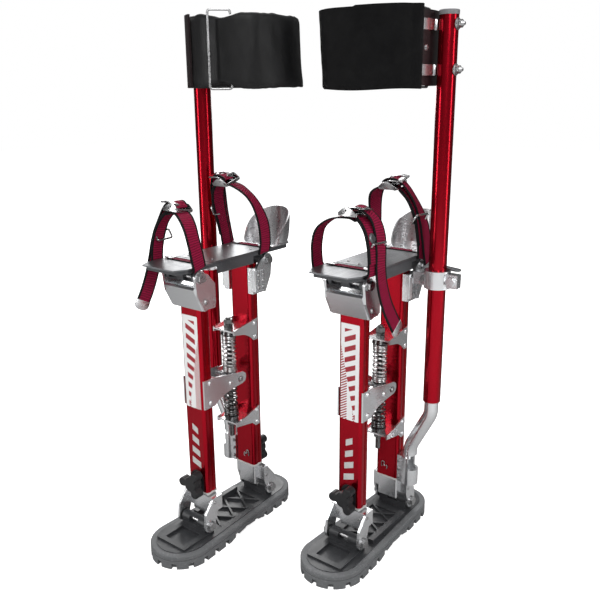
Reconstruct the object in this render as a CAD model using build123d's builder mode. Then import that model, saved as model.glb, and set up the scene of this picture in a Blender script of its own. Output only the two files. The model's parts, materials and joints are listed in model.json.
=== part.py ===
from build123d import *
import os

# A pair of sprung walking stilts for wall and ceiling work, in millimetres, at the lowest setting.
# Each piece is drawn once, in the frame of the left stilt: +Z up, the toe towards -Y, the calf
# pole on the +X side and the ground at Z 0. The right stilt is the mirror image of the left one.

# Stance of the pair, about the middle of its box
stance_x = 106.5
stance_y = 52.5

# Linkage: two legs, four axles, and the foot platform across the top
pivot_spacing = 146.0
axle_low = 38.5
axle_high = 437.5
axle_radius = 4.0
running_fit = 0.05
free_gap = 0.3
tube_inset = 18.0
ends = {"front": -1, "rear": 1}

# Telescoping legs
outer_width = 40.0
outer_depth = 22.0
outer_wall = 2.1
outer_bottom = 87.0
tube_face = pivot_spacing / 2 - tube_inset - outer_depth / 2
outer_tops = {"front": 420.0, "rear": 432.0}
inner_width = 34.6
inner_depth = 16.6
inner_wall = 1.8
inner_bottom = 50.0
inner_top = 405.0
step = 25.4
steps = 10
knob_height = 104.0

# Yokes at both ends of a leg
ear_inner = 27.0
ear_thick = 4.0
top_ear_inner = 30.0

# Sole
toe_centre = -104.0
toe_radius = 50.0
heel_centre = 92.0
heel_radius = 42.0
tread_height = 22.0
plate_inset = 9.0
plate_gap = 0.1
plate_bottom = 17.0
plate_top = 23.0
frame_top = 26.0

# Springs and their rod, between the two outer tubes
rod_y = 15.0
rod_radius = 4.0
shuttle_z = 254.0
upper_seat = 325.0
lower_seat = 187.0
spring_radius = 10.0
wire_radius = 1.5
bracket_thick = 2.4

# Foot platform
foot_top = 457.0
foot_plate_thick = 2.0
tray_half = 36.0
tray_under = 449.0
toe_strap_y = -82.0
ankle_strap_y = 60.0
strap_width = 25.0
strap_thick = 2.6

# Heel cup
cup_centre = 112.0
cup_radius = 38.0
cup_wall = 2.0
cup_height = 54.0

# Calf pole and cuff
pole_x = 70.8
pole_y = 51.5
pole_radius = 13.0
pole_bore = 11.0
pole_bottom = 236.0
pole_top = 784.0
clamp_z = 427.0
cuff_x = -28.0
cuff_y = 40.0
cuff_radius = 78.5
cuff_thick = 11.0
cuff_bottom = 690.0
cuff_height = 103.0
band_heights = (714.0, 771.0)

# The toe of one sole and the heel cup of the other are the ends of the pair along Y
box_shift = -(toe_centre - toe_radius + cup_centre + cup_radius) / 2

os.makedirs("parts", exist_ok=True)


def pivot(end):
    return ends[end] * pivot_spacing / 2


def tube_centre(end):
    return ends[end] * (pivot_spacing / 2 - tube_inset)


def toward(end, points):
    # Points of a side profile, given outwards and upwards, on the front or the rear leg.
    return [(ends[end] * y, z) for y, z in points]


def write(shape, label):
    shape.label = label
    export_step(shape, f"parts/{label}.step")


def write_left(piece, name):
    write(piece.part.moved(Location((stance_x, stance_y + box_shift, 0))), f"left_{name}")


def write_right(piece, name):
    twin = mirror(piece.part, about=Plane.YZ)
    write(twin.moved(Location((-stance_x, -stance_y + box_shift, 0))), f"right_{name}")


def write_pair(piece, name):
    write_left(piece, name)
    write_right(piece, name)


# Sole: rubber tread with a raised arch, side notches and cross grooves
with BuildSketch() as sole_outline:
    with Locations((0, toe_centre)):
        Circle(toe_radius)
    with Locations((0, heel_centre)):
        Circle(heel_radius)
    make_hull(sole_outline.edges())

with BuildSketch() as plate_outline:
    add(sole_outline.sketch)
    offset(amount=-plate_inset)

notch_count = 9
notch_width = 8.0
notch_pitch = (heel_centre - toe_centre) / (notch_count - 1)
arch_rise = 8.0
arch_half = 46.0
arch_radius = (arch_half**2 + arch_rise**2) / (2 * arch_rise)
groove_depth = 1.2

with BuildPart() as sole_tread:
    add(sole_outline.sketch)
    extrude(amount=tread_height)
    fillet(sole_tread.edges().group_by(Axis.Z)[-1], radius=2)
    with BuildSketch(Plane.XY.offset(plate_bottom)):
        add(plate_outline.sketch)
    extrude(amount=tread_height, mode=Mode.SUBTRACT)
    with BuildSketch(Plane.XY.offset(14)):
        add(sole_outline.sketch)
        offset(sole_outline.sketch, amount=-groove_depth, mode=Mode.SUBTRACT)
    extrude(amount=1.4, mode=Mode.SUBTRACT)
    with Locations((0, 0, arch_rise - arch_radius)):
        Cylinder(arch_radius, 2 * toe_radius + 10, rotation=(0, 90, 0), mode=Mode.SUBTRACT)
    for index in range(notch_count):
        notch_y = toe_centre + index * notch_pitch
        side = toe_radius + (heel_radius - toe_radius) * index / (notch_count - 1)
        with Locations((side, notch_y, 4), (-side, notch_y, 4)):
            Box(14, notch_width, 10, mode=Mode.SUBTRACT)
        with Locations((0, notch_y, 0)):
            Box(3 * toe_radius, 3.5, 5, mode=Mode.SUBTRACT)
    for angle in (-60, -30, 0, 30, 60):
        with Locations(Location((0, toe_centre, 4), (0, 0, angle - 90))):
            with Locations((toe_radius, 0, 0)):
                Box(12, notch_width, 10, mode=Mode.SUBTRACT)
        with Locations(Location((0, heel_centre, 4), (0, 0, angle + 90))):
            with Locations((heel_radius, 0, 0)):
                Box(12, notch_width, 10, mode=Mode.SUBTRACT)
write_pair(sole_tread, "sole_tread")

# Sole plate: moulded plastic with a window frame, a lattice and the hinge lugs
lug_half = 25.0
barrel_radius = 8.5
lattice_half = 27.0
lattice_cells = 3
lattice_length = 96.0
cell = lattice_length / lattice_cells

with BuildPart() as sole_plate:
    with BuildSketch(Plane.XY.offset(plate_bottom)):
        add(plate_outline.sketch)
        offset(amount=-plate_gap, mode=Mode.REPLACE)
    extrude(amount=plate_top - plate_bottom)
    with Locations((0, -98, plate_top)):
        Box(60, 64, 2 * (frame_top - plate_top))
    with Locations((0, -104, frame_top)):
        Box(40, 35, 10, mode=Mode.SUBTRACT)
    with Locations((0, 0, plate_top)):
        Box(2 * lattice_half, lattice_length, 7, mode=Mode.SUBTRACT)
    with Locations((0, 0, 21)):
        with GridLocations(0, cell, 1, lattice_cells):
            for angle in (-31, 31):
                Box(2 * lattice_half + 8, 3, 6, rotation=(0, 0, angle))
    with Locations((29, 0, 24.5)):
        Box(9, lattice_length, 11)
    for end in ends:
        with Locations((0, pivot(end), 28)):
            Box(2 * lug_half, 15, 20)
        with Locations((0, pivot(end), axle_low)):
            Cylinder(barrel_radius, 2 * lug_half, rotation=(0, 90, 0))
            Cylinder(axle_radius + running_fit, 80, rotation=(0, 90, 0), mode=Mode.SUBTRACT)
            Box(18, 30, 12, mode=Mode.SUBTRACT)
write_pair(sole_plate, "sole_plate")


# Fasteners that several pieces share, drawn along +Z from the origin
with BuildPart() as hex_head:
    with BuildSketch():
        RegularPolygon(7.0, 6)
    extrude(amount=5)
    with BuildSketch():
        Circle(8.0)
    extrude(amount=1.2)

with BuildPart() as rivet_head:
    Cylinder(3.8, 2, align=(Align.CENTER, Align.CENTER, Align.MIN))
    fillet(rivet_head.edges().group_by(Axis.Z)[-1], radius=1.6)


def across(y, z, radius, length, mode=Mode.ADD):
    # A round bar or bore along X.
    with Locations((0, y, z)):
        Cylinder(radius, length, rotation=(0, 90, 0), mode=mode)


def side_heads(head, reach, places):
    # The same head on both flanks, seated at reach, at each (y, z).
    for side in (-1, 1):
        for y, z in places:
            with Locations(Location((side * reach, y, z), (0, side * 90, 0))):
                add(head.part)


with BuildPart() as sole_axles:
    for end in ends:
        across(pivot(end), axle_low, axle_radius, 2 * (ear_inner + ear_thick) + 2)
        side_heads(hex_head, ear_inner + ear_thick + free_gap, [(pivot(end), axle_low)])
write_pair(sole_axles, "sole_axles")

# Lower legs: the inner tube with its row of step holes, and the cast yoke that straddles the lug
block_bottom = 58.0
block_top = 82.0
block_spans = {"front": (46, 66), "rear": (56, 66)}
lower_ear = [(56, 58), (56, 82), (64, 82), (82, 60), (84.4, 38.5), (73, 28), (62, 40)]

for end in ends:
    with BuildPart() as lower_leg:
        with BuildSketch(Plane.XY.offset(inner_bottom)):
            with Locations((0, tube_centre(end))):
                RectangleRounded(inner_width, inner_depth, 3)
        extrude(amount=inner_top - inner_bottom)
        near, far = block_spans[end]
        with Locations((0, ends[end] * (near + far) / 2, (block_bottom + block_top) / 2)):
            Box(2 * (ear_inner + ear_thick), far - near, block_top - block_bottom)
        with BuildSketch(Plane.YZ.offset(ear_inner)):
            Polygon(*toward(end, lower_ear), align=None)
            with Locations((pivot(end), axle_low)):
                Circle(11.4)
        extrude(amount=ear_thick)
        mirror(about=Plane.YZ)
        with BuildSketch(Plane.XY.offset(inner_bottom)):
            with Locations((0, tube_centre(end))):
                RectangleRounded(inner_width - 2 * inner_wall, inner_depth - 2 * inner_wall, 1.5)
        extrude(amount=inner_top - inner_bottom, mode=Mode.SUBTRACT)
        across(pivot(end), axle_low, axle_radius + running_fit, 80, Mode.SUBTRACT)
        for index in range(steps + 1):
            with Locations((0, tube_centre(end), knob_height + index * step)):
                Cylinder(4.2, 30, rotation=(90, 0, 0), mode=Mode.SUBTRACT)
    write_pair(lower_leg, f"{end}_lower_leg")

# Outer tubes: rounded rectangles with a grooved flank and a tapped hole for the locking knob
flank_groove = 5.0
stud_radius = 3.95

for end in ends:
    with BuildPart() as outer_tube:
        with BuildSketch(Plane.XY.offset(outer_bottom)):
            with Locations((0, tube_centre(end))):
                RectangleRounded(outer_width, outer_depth, 5)
                RectangleRounded(
                    outer_width - 2 * outer_wall,
                    outer_depth - 2 * outer_wall,
                    3,
                    mode=Mode.SUBTRACT,
                )
            for side in (-1, 1):
                with Locations((side * outer_width / 2, tube_centre(end))):
                    Rectangle(2, flank_groove, mode=Mode.SUBTRACT)
        extrude(amount=outer_tops[end] - outer_bottom)
        with Locations((0, ends[end] * 66, knob_height)):
            Cylinder(stud_radius + running_fit, 10, rotation=(90, 0, 0), mode=Mode.SUBTRACT)
    write_pair(outer_tube, f"{end}_outer_tube")

# Top yokes: a cast collar round the tube with two ears that carry the platform's axle
collar_bottom = 387.0
collar_tops = {"front": 422.0, "rear": 428.0}
top_ear = [(44, 392), (44, 424), (58, 440), (73, 447.5), (83.5, 437.5), (80, 412), (67, 387)]
rib_pitch = 4.4

for end in ends:
    collar_top = collar_tops[end]
    with BuildPart() as top_yoke:
        with Locations((0, tube_centre(end), (collar_bottom + collar_top) / 2)):
            Box(2 * top_ear_inner + 1, 27, collar_top - collar_bottom)
        with BuildSketch(Plane.YZ.offset(top_ear_inner)):
            Polygon(*toward(end, top_ear), align=None)
            with Locations((pivot(end), axle_high)):
                Circle(10.4)
        extrude(amount=ear_thick)
        mirror(about=Plane.YZ)
        if end == "front":
            with BuildSketch(Plane.YZ):
                Polygon(*toward(end, [(66, 387), (69, 387), (84, 421), (81, 424)]), align=None)
            extrude(amount=top_ear_inner, both=True)
        else:
            for index in range(5):
                rib_y = tube_centre(end) + (index - 2.5) * rib_pitch
                with Locations((0, rib_y, (collar_bottom + collar_top) / 2)):
                    Box(2 * (top_ear_inner + ear_thick) + 3, 2.4, collar_top - collar_bottom - 8)
        with BuildSketch(Plane.XY.offset(collar_bottom)):
            with Locations((0, tube_centre(end))):
                RectangleRounded(outer_width, outer_depth, 5)
        extrude(amount=outer_tops[end] - collar_bottom, mode=Mode.SUBTRACT)
        if end == "rear":
            with Locations((0, tube_face, (collar_bottom + collar_top) / 2)):
                Box(outer_width, 12, 60, mode=Mode.SUBTRACT)
        bore_gap = free_gap if end == "front" else running_fit
        across(pivot(end), axle_high, axle_radius + bore_gap, 90, Mode.SUBTRACT)
    write_pair(top_yoke, f"{end}_top_yoke")

# Spring brackets: pairs of side plates joined by a web, riveted to a tube's flanks
plate_in = outer_width / 2
plate_out = plate_in + bracket_thick
middle_low = 229.0
middle_high = 275.0
middle_plate = [
    (-65, middle_low), (-65, middle_high), (-45, middle_high), (21, 264.5), (27, 260), (28, 254),
    (26, 248), (20, 245.5), (-6, 243), (-22, 240), (-34, 235.5), (-43, middle_low),
]
gussets = {
    "upper": ([(4, 335), (58, 344), (58, 309), (48, 309), (40, 317), (28, 323.5), (4, 328)], 332.5),
    "lower": ([(4, 181), (30, 185), (58, 194), (58, 161), (48, 161), (40, 168), (4, 174)], 178.5),
}

with BuildPart() as mid_spring_bracket:
    with BuildSketch(Plane.YZ.offset(plate_in)):
        Polygon(*middle_plate, align=None)
        with Locations((rod_y, shuttle_z)):
            SlotOverall(11, 8.4, mode=Mode.SUBTRACT)
    extrude(amount=bracket_thick)
    mirror(about=Plane.YZ)
    with Locations((0, -tube_face + bracket_thick / 2, (middle_low + middle_high) / 2)):
        Box(2 * plate_out, bracket_thick, middle_high - middle_low)
    side_heads(rivet_head, plate_out, [(-52, 236), (-52, 268), (-7, 254)])
write_pair(mid_spring_bracket, "mid_spring_bracket")

with BuildPart() as spring_brackets:
    for gusset, web_z in gussets.values():
        with BuildSketch(Plane.YZ.offset(plate_in)):
            Polygon(*gusset, align=None)
        extrude(amount=bracket_thick)
        with Locations((0, (4 + tube_face) / 2, web_z)):
            Box(2 * plate_out, tube_face - 4, bracket_thick)
    mirror(about=Plane.YZ)
    with Locations((0, rod_y, shuttle_z)):
        Cylinder(rod_radius, 300, mode=Mode.SUBTRACT)
    side_heads(rivet_head, plate_out, [(52.5, 314), (52.5, 336), (52.5, 166), (52.5, 186)])
write_pair(spring_brackets, "spring_brackets")

# Spring rod with its nuts and the two fixed spring seats
upper_web = gussets["upper"][1]
lower_web = gussets["lower"][1]
seat_radius = 12.6
rod_bottom = 150.0
rod_top = 352.0
nut_places = (upper_web + bracket_thick / 2, rod_top - 10, lower_web - bracket_thick / 2 - 7)

with BuildPart() as spring_rod:
    with BuildSketch(Plane.XY.offset(rod_bottom)):
        with Locations((0, rod_y)):
            Circle(rod_radius)
    extrude(amount=rod_top - rod_bottom)
    for nut_z in nut_places:
        with BuildSketch(Plane.XY.offset(nut_z)):
            with Locations((0, rod_y)):
                RegularPolygon(7.4, 6)
        extrude(amount=7)
    with BuildSketch(Plane.XY.offset(upper_seat)):
        with Locations((0, rod_y)):
            Circle(seat_radius)
    extrude(amount=upper_web - bracket_thick / 2 - upper_seat, taper=18)
    with BuildSketch(Plane.XY.offset(lower_seat)):
        with Locations((0, rod_y)):
            Circle(seat_radius)
    extrude(amount=-(lower_seat - lower_web - bracket_thick / 2), taper=18)
write_pair(spring_rod, "spring_rod")

# Shuttle: the trunnion that the middle bracket pushes along the rod
shuttle_half = 6.0
seat_thick = 2.0

with BuildPart() as shuttle:
    with Locations((0, rod_y, shuttle_z)):
        Cylinder(9, 2 * shuttle_half)
        for side in (-1, 1):
            with Locations((0, 0, side * (shuttle_half + seat_thick / 2))):
                Cylinder(seat_radius, seat_thick)
        Cylinder(3.6, 2 * (plate_out + 2), rotation=(0, 90, 0))
        Cylinder(rod_radius + free_gap, 40, mode=Mode.SUBTRACT)
    side_heads(rivet_head, plate_out + 1, [(rod_y, shuttle_z)])
write_pair(shuttle, "shuttle")

# Springs, one on each side of the shuttle
spring_ends = {
    "upper": (shuttle_z + shuttle_half + seat_thick, upper_seat, 13),
    "lower": (lower_seat, shuttle_z - shuttle_half - seat_thick, 11),
}

for level, (low, high, turns) in spring_ends.items():
    height = high - low - 2 * wire_radius - 2 * free_gap
    with BuildPart() as spring:
        with BuildLine(Plane((0, rod_y, low + wire_radius + free_gap))) as coil:
            Helix(height / turns, height, spring_radius)
        with BuildSketch(coil.line ^ 0):
            Circle(wire_radius)
        sweep(is_frenet=True)
    write_pair(spring, f"{level}_spring")

# Pole clamp: a split band round the calf pole, on an arm from the rear yoke's outer ear
clamp_radius = 19.0
clamp_tall = 26.0
lug_x = pole_x + 25

with BuildPart() as pole_clamp:
    with Locations((pole_x, pole_y, clamp_z)):
        Cylinder(clamp_radius, clamp_tall)
    with Locations((lug_x, pole_y, clamp_z)):
        Box(18, 13, clamp_tall - 6)
    with Locations((48, pole_y + 1, clamp_z - 2)):
        Box(25, 17, clamp_tall - 8)
    with Locations((pole_x, pole_y, clamp_z)):
        Cylinder(pole_radius + running_fit, 40, mode=Mode.SUBTRACT)
    with Locations((lug_x, pole_y, clamp_z)):
        Box(30, 2.4, 40, mode=Mode.SUBTRACT)
        Cylinder(3, 24, rotation=(90, 0, 0))
    for side in (-1, 1):
        with Locations(Location((lug_x, pole_y + side * 6.5, clamp_z), (side * -90, 0, 0))):
            add(hex_head.part)
write_pair(pole_clamp, "pole_clamp")

# Bent tube: guides the foot of the pole and carries it down to a hook bracket on the rear tube
bent_x = 38.0
bent_radius = pole_bore - free_gap
bent_path = [(pole_x, 400), (pole_x, 214), (bent_x, 150), (bent_x, 86)]
bent_curve = 34.0
hook_low = 86.0
hook_high = 132.0

with BuildPart() as bent_tube:
    with BuildLine(Plane.XZ.offset(-pole_y)) as bent_line:
        FilletPolyline(*bent_path, radius=bent_curve)
    with BuildSketch(Plane.XY.offset(bent_path[0][1])):
        with Locations((pole_x, pole_y)):
            Circle(bent_radius)
            Circle(bent_radius - 1.8, mode=Mode.SUBTRACT)
    sweep(path=bent_line.line)
    with BuildSketch(Plane.XY.offset(hook_low)):
        with Locations((bent_x, pole_y)):
            Circle(bent_radius + 2.6)
        with Locations(((outer_width / 2 + bent_x) / 2, pole_y)):
            Rectangle(bent_x - outer_width / 2, 18)
        with Locations((outer_width / 2 + 1.5, tube_centre("rear"))):
            Rectangle(3, 20)
        with Locations((bent_x, pole_y)):
            Circle(bent_radius - 1, mode=Mode.SUBTRACT)
    extrude(amount=hook_high - hook_low)
    with Locations((bent_x + 12, pole_y, hook_high - 8)):
        Box(20, 30, 24, mode=Mode.SUBTRACT)
write_pair(bent_tube, "bent_tube")

# Foot platform: tray with two hinge barrels, and its axles
barrel_half = 28.0
tray_barrel = 8.0
tray_top = foot_top - foot_plate_thick
tray_thick = tray_top - tray_under

with BuildPart() as platform_tray:
    with BuildSketch(Plane.XY.offset(tray_under)):
        Polygon(
            (-tray_half, -98), (-28, -115), (28, -115), (tray_half, -98),
            (tray_half, 118), (-tray_half, 118), align=None,
        )
    extrude(amount=tray_thick)
    for side in (-1, 1):
        with Locations((side * (tray_half - 1.5), 0, tray_under - 5)):
            Box(3, 76, 12)
    for end in ends:
        with Locations((0, pivot(end), (axle_high + tray_under) / 2)):
            Box(2 * barrel_half, 12, tray_under - axle_high + 1)
        across(pivot(end), axle_high, tray_barrel, 2 * barrel_half)
        across(pivot(end), axle_high, axle_radius + running_fit, 90, Mode.SUBTRACT)
        for side in (-1, 1):
            with Locations((side * 15, pivot(end) + ends[end] * 6, axle_high)):
                Box(16, 8, 9, mode=Mode.SUBTRACT)
    with Locations((0, 0, tray_under)):
        with GridLocations(0, 20, 1, 5):
            Box(52, 14, 6, mode=Mode.SUBTRACT)
write_pair(platform_tray, "platform_tray")

with BuildPart() as platform_axles:
    for end in ends:
        across(pivot(end), axle_high, axle_radius, 2 * (top_ear_inner + ear_thick) + 2)
        side_heads(hex_head, top_ear_inner + ear_thick + free_gap, [(pivot(end), axle_high)])
write_pair(platform_axles, "platform_axles")

# Foot plates: toe plate with cropped corners, and main plate
with BuildPart() as foot_plates:
    with BuildSketch(Plane.XY.offset(tray_top)):
        Polygon(
            (-41, -54), (-41, -102), (-31, -121), (31, -121), (41, -102), (41, -54), align=None
        )
        Polygon((-37, -52), (37, -52), (37, 68), (30, 77), (-30, 77), (-37, 68), align=None)
    extrude(amount=foot_plate_thick)
write_pair(foot_plates, "foot_plates")

# Straps: an arch over the toes, and one over the ankle that leans forward
strap_planes = {
    "toe": Plane((0, toe_strap_y, tray_top + free_gap), x_dir=(1, 0, 0), z_dir=(0, -1, 0.14)),
    "ankle": Plane((0, ankle_strap_y, tray_top + free_gap), x_dir=(1, 0, 0), z_dir=(0, -1, -0.3)),
}
strap_arches = {
    "toe": [(43.5, -8), (43.5, 14), (38, 48), (22, 72)],
    "ankle": [(39.5, -8), (39.5, 40), (35, 76), (20, 106)],
}
strap_low = 450.5
strap_high = 453.5

with BuildPart() as foot_straps:
    for strap, plane in strap_planes.items():
        arch = strap_arches[strap]
        arch_points = [(-x, y) for x, y in arch] + arch[::-1]
        with BuildSketch(plane):
            with BuildLine():
                FilletPolyline(*arch_points, radius=14)
            trace(line_width=strap_thick)
        extrude(amount=strap_width / 2, both=True)
    split(bisect_by=Plane.XY.offset(strap_low))
    for strap, strap_y in (("toe", toe_strap_y), ("ankle", ankle_strap_y)):
        leg_x = strap_arches[strap][0][0] + strap_thick / 2
        tab = leg_x - tray_half
        for side in (-1, 1):
            with Locations((side * (tray_half + tab / 2), strap_y, (strap_low + strap_high) / 2)):
                Box(tab, strap_width, strap_high - strap_low)
write_pair(foot_straps, "foot_straps")

# Buckles on top of the arches: a cheeked frame with a pin, and the cam lever that turns on it
buckle_x = 4.0
cheek_y = strap_width / 2 + 0.4
cheek_thick = 1.4
pin_height = 7.5
pin_radius = 1.6
lever_length = 23.0


def buckle_seat(strap):
    # The plane of a buckle, on the strap's top, +X along the strap and +Y across it.
    plane = strap_planes[strap]
    top = strap_arches[strap][-1][1] + strap_thick / 2
    origin = plane.from_local_coords((buckle_x, top, 0))
    return Plane(origin, x_dir=plane.x_dir, z_dir=plane.y_dir)


with BuildPart() as buckle_frames:
    for strap in strap_planes:
        with BuildSketch(buckle_seat(strap)):
            RectangleRounded(30, 2 * (cheek_y + cheek_thick), 3)
        extrude(amount=1.2)
        for side in (-1, 1):
            middle = side * (cheek_y + cheek_thick / 2)
            with Locations(buckle_seat(strap)):
                with Locations((0, middle, 1)):
                    Box(12, cheek_thick, 11, align=(Align.CENTER, Align.CENTER, Align.MIN))
        with Locations(buckle_seat(strap)):
            with Locations((0, 0, pin_height)):
                Cylinder(pin_radius, 2 * cheek_y + 1, rotation=(90, 0, 0))
write_pair(buckle_frames, "buckle_frames")

for strap in strap_planes:
    with BuildPart() as cam_lever:
        with Locations(buckle_seat(strap)):
            with Locations((0, 0, pin_height)):
                Cylinder(4.6, 2 * cheek_y - 2, rotation=(90, 0, 0))
            with Locations((lever_length / 2, 0, pin_height + 3.4)):
                Box(lever_length, 2 * cheek_y - 2, 2.2)
            with Locations((0, 0, pin_height)):
                Cylinder(pin_radius + running_fit, 40, rotation=(90, 0, 0), mode=Mode.SUBTRACT)
    write_pair(cam_lever, f"{strap}_lever")

# Heel cup: a sliding base plate and a wall that falls from the back to its front ends
cup_bottom = tray_top + free_gap
cup_back = cup_centre + cup_radius
cup_front = 80.0
cup_reach = 74.0

with BuildPart() as heel_cup:
    with BuildSketch(Plane.XY.offset(cup_bottom)):
        with Locations((0, cup_centre)):
            Circle(cup_radius)
        with Locations((0, (cup_front + cup_centre) / 2)):
            Rectangle(2 * cup_radius - 2, cup_centre - cup_front)
    extrude(amount=foot_plate_thick)
    with BuildSketch(Plane.XY.offset(cup_bottom)):
        with Locations((0, cup_centre)):
            Circle(cup_radius)
            Circle(cup_radius - cup_wall, mode=Mode.SUBTRACT)
    extrude(amount=cup_height)
    with BuildSketch(Plane.YZ):
        with Locations((cup_back, cup_bottom)):
            Ellipse(cup_reach, cup_height)
    extrude(amount=cup_radius + 1, both=True, mode=Mode.INTERSECT)
    split(bisect_by=Plane.XZ.offset(-cup_front), keep=Keep.BOTTOM)
write_pair(heel_cup, "heel_cup")

# Calf pole, drilled for the bolts of the cuff bands
with BuildPart() as pole:
    with BuildSketch(Plane.XY.offset(pole_bottom)):
        with Locations((pole_x, pole_y)):
            Circle(pole_radius)
            Circle(pole_bore, mode=Mode.SUBTRACT)
    extrude(amount=pole_top - pole_bottom)
    for band_z in band_heights:
        with Locations((pole_x, pole_y, band_z)):
            Cylinder(3.2, 40, rotation=(0, 90, 0), mode=Mode.SUBTRACT)
write_pair(pole, "pole")

# Cuff frame: curved shell, two bands to the pole, their bolts, the pole's cap and the wire loop
shell_in = cuff_radius + free_gap
shell_out = shell_in + 3
band_out = shell_out + 2.4
shell_low = 694.0
shell_high = 789.0
band_tall = 14.0
loop_wire = 1.6
flap_gap = 4.6
loop_anchor = cuff_radius - cuff_thick / 2
loop_rise = 3.0
cuff_top = cuff_bottom + cuff_height
# For each side: what the loop stands clear of, the angle of its long wire, and of its anchors
loops = {"left": (band_out, -9, 10), "right": (cuff_radius, -91, -112)}


def cuff_point(radius, angle, z):
    # A point on the cuff's wall, at an angle from the pole's side towards the heel.
    turned = Vector(radius, 0, 0).rotate(Axis.Z, angle)
    return turned + Vector(cuff_x, cuff_y, z)


for side, (loop_clear, loop_angle, anchor_angle) in loops.items():
    loop_radius = loop_clear + flap_gap + loop_wire
    with BuildPart() as cuff_frame:
        with BuildSketch(Plane.XY.offset(shell_low)):
            with Locations((cuff_x, cuff_y)):
                Circle(shell_out)
                Circle(shell_in, mode=Mode.SUBTRACT)
            with Locations((cuff_x + 132, cuff_y)):
                Rectangle(200, 200, mode=Mode.INTERSECT)
        extrude(amount=shell_high - shell_low)
        for band_z in band_heights:
            with BuildSketch(Plane.XY.offset(band_z - band_tall / 2)):
                with Locations((cuff_x, cuff_y)):
                    Circle(band_out)
                    Circle(shell_out, mode=Mode.SUBTRACT)
                with Locations((cuff_x + 90, cuff_y + 9)):
                    Rectangle(60, 42, mode=Mode.INTERSECT)
            extrude(amount=band_tall)
            with Locations((pole_x - pole_radius - 2.2, pole_y, band_z)):
                Box(4, 14, band_tall)
            with Locations((pole_x, pole_y, band_z)):
                Cylinder(3.1, 2 * pole_radius + 4, rotation=(0, 90, 0))
            with Locations(Location((pole_x + pole_radius + free_gap, pole_y, band_z), (0, 90, 0))):
                add(hex_head.part)
        with Locations((pole_x, pole_y, pole_top + 2.5)):
            Cylinder(pole_radius + 0.6, 5)
        with BuildLine() as loop_line:
            FilletPolyline(
                cuff_point(loop_anchor, anchor_angle, cuff_top),
                cuff_point(loop_anchor, anchor_angle, cuff_top + loop_rise),
                cuff_point(loop_radius, loop_angle, cuff_top + loop_rise),
                cuff_point(loop_radius, loop_angle, cuff_bottom - loop_rise),
                cuff_point(loop_anchor, anchor_angle, cuff_bottom - loop_rise),
                cuff_point(loop_anchor, anchor_angle, cuff_bottom),
                radius=1.4 * loop_wire,
            )
        with BuildSketch(Plane(cuff_point(loop_anchor, anchor_angle, cuff_top))):
            Circle(loop_wire)
        sweep(path=loop_line.line)
    if side == "left":
        write_left(cuff_frame, "cuff_frame")
    else:
        write_right(cuff_frame, "cuff_frame")

# Cuff pad: the padded ring that closes round the calf
with BuildPart() as cuff_pad:
    with BuildSketch(Plane.XY.offset(cuff_bottom)):
        with Locations((cuff_x, cuff_y)):
            Circle(cuff_radius)
            Circle(cuff_radius - cuff_thick, mode=Mode.SUBTRACT)
    extrude(amount=cuff_height)
    fillet(cuff_pad.edges(), radius=3)
write_pair(cuff_pad, "cuff_pad")

# Locking knobs: three lobes on a stud that turns in the outer tube's hole
lobe_radius = 7.0
lobe_reach = 17.0
knob_deep = 19.0
knob_foot = 5.0
stud_deep = outer_wall - free_gap
first_lobes = {"left": 180, "right": 0}

for end in ends:
    face_y = ends[end] * (tube_face + outer_depth)
    outward = Plane((0, face_y, knob_height), x_dir=(1, 0, 0), z_dir=(0, ends[end], 0))
    for side, first_lobe in first_lobes.items():
        with BuildPart() as knob:
            with BuildSketch(outward.offset(-stud_deep)):
                Circle(stud_radius)
            extrude(amount=stud_deep + 1)
            with BuildSketch(outward.offset(free_gap)):
                Circle(8.5)
            extrude(amount=knob_foot)
            with BuildSketch(outward.offset(knob_foot)):
                Circle(12)
                with PolarLocations(lobe_reach / 2, 3, start_angle=first_lobe):
                    Rectangle(lobe_reach, 2 * lobe_radius - 2)
                with PolarLocations(lobe_reach, 3, start_angle=first_lobe):
                    Circle(lobe_radius)
            extrude(amount=knob_deep - knob_foot)
            fillet(knob.faces().sort_by(Axis.Y)[-1 if ends[end] > 0 else 0].edges(), radius=2)
        if side == "left":
            write_left(knob, f"{end}_knob")
        else:
            write_right(knob, f"{end}_knob")
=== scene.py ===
import json
from functools import partial
from math import atan2, cos, degrees, exp, pi, radians, sin, tau

import bmesh
import bpy
from mathutils import Matrix, Vector, noise


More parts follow.
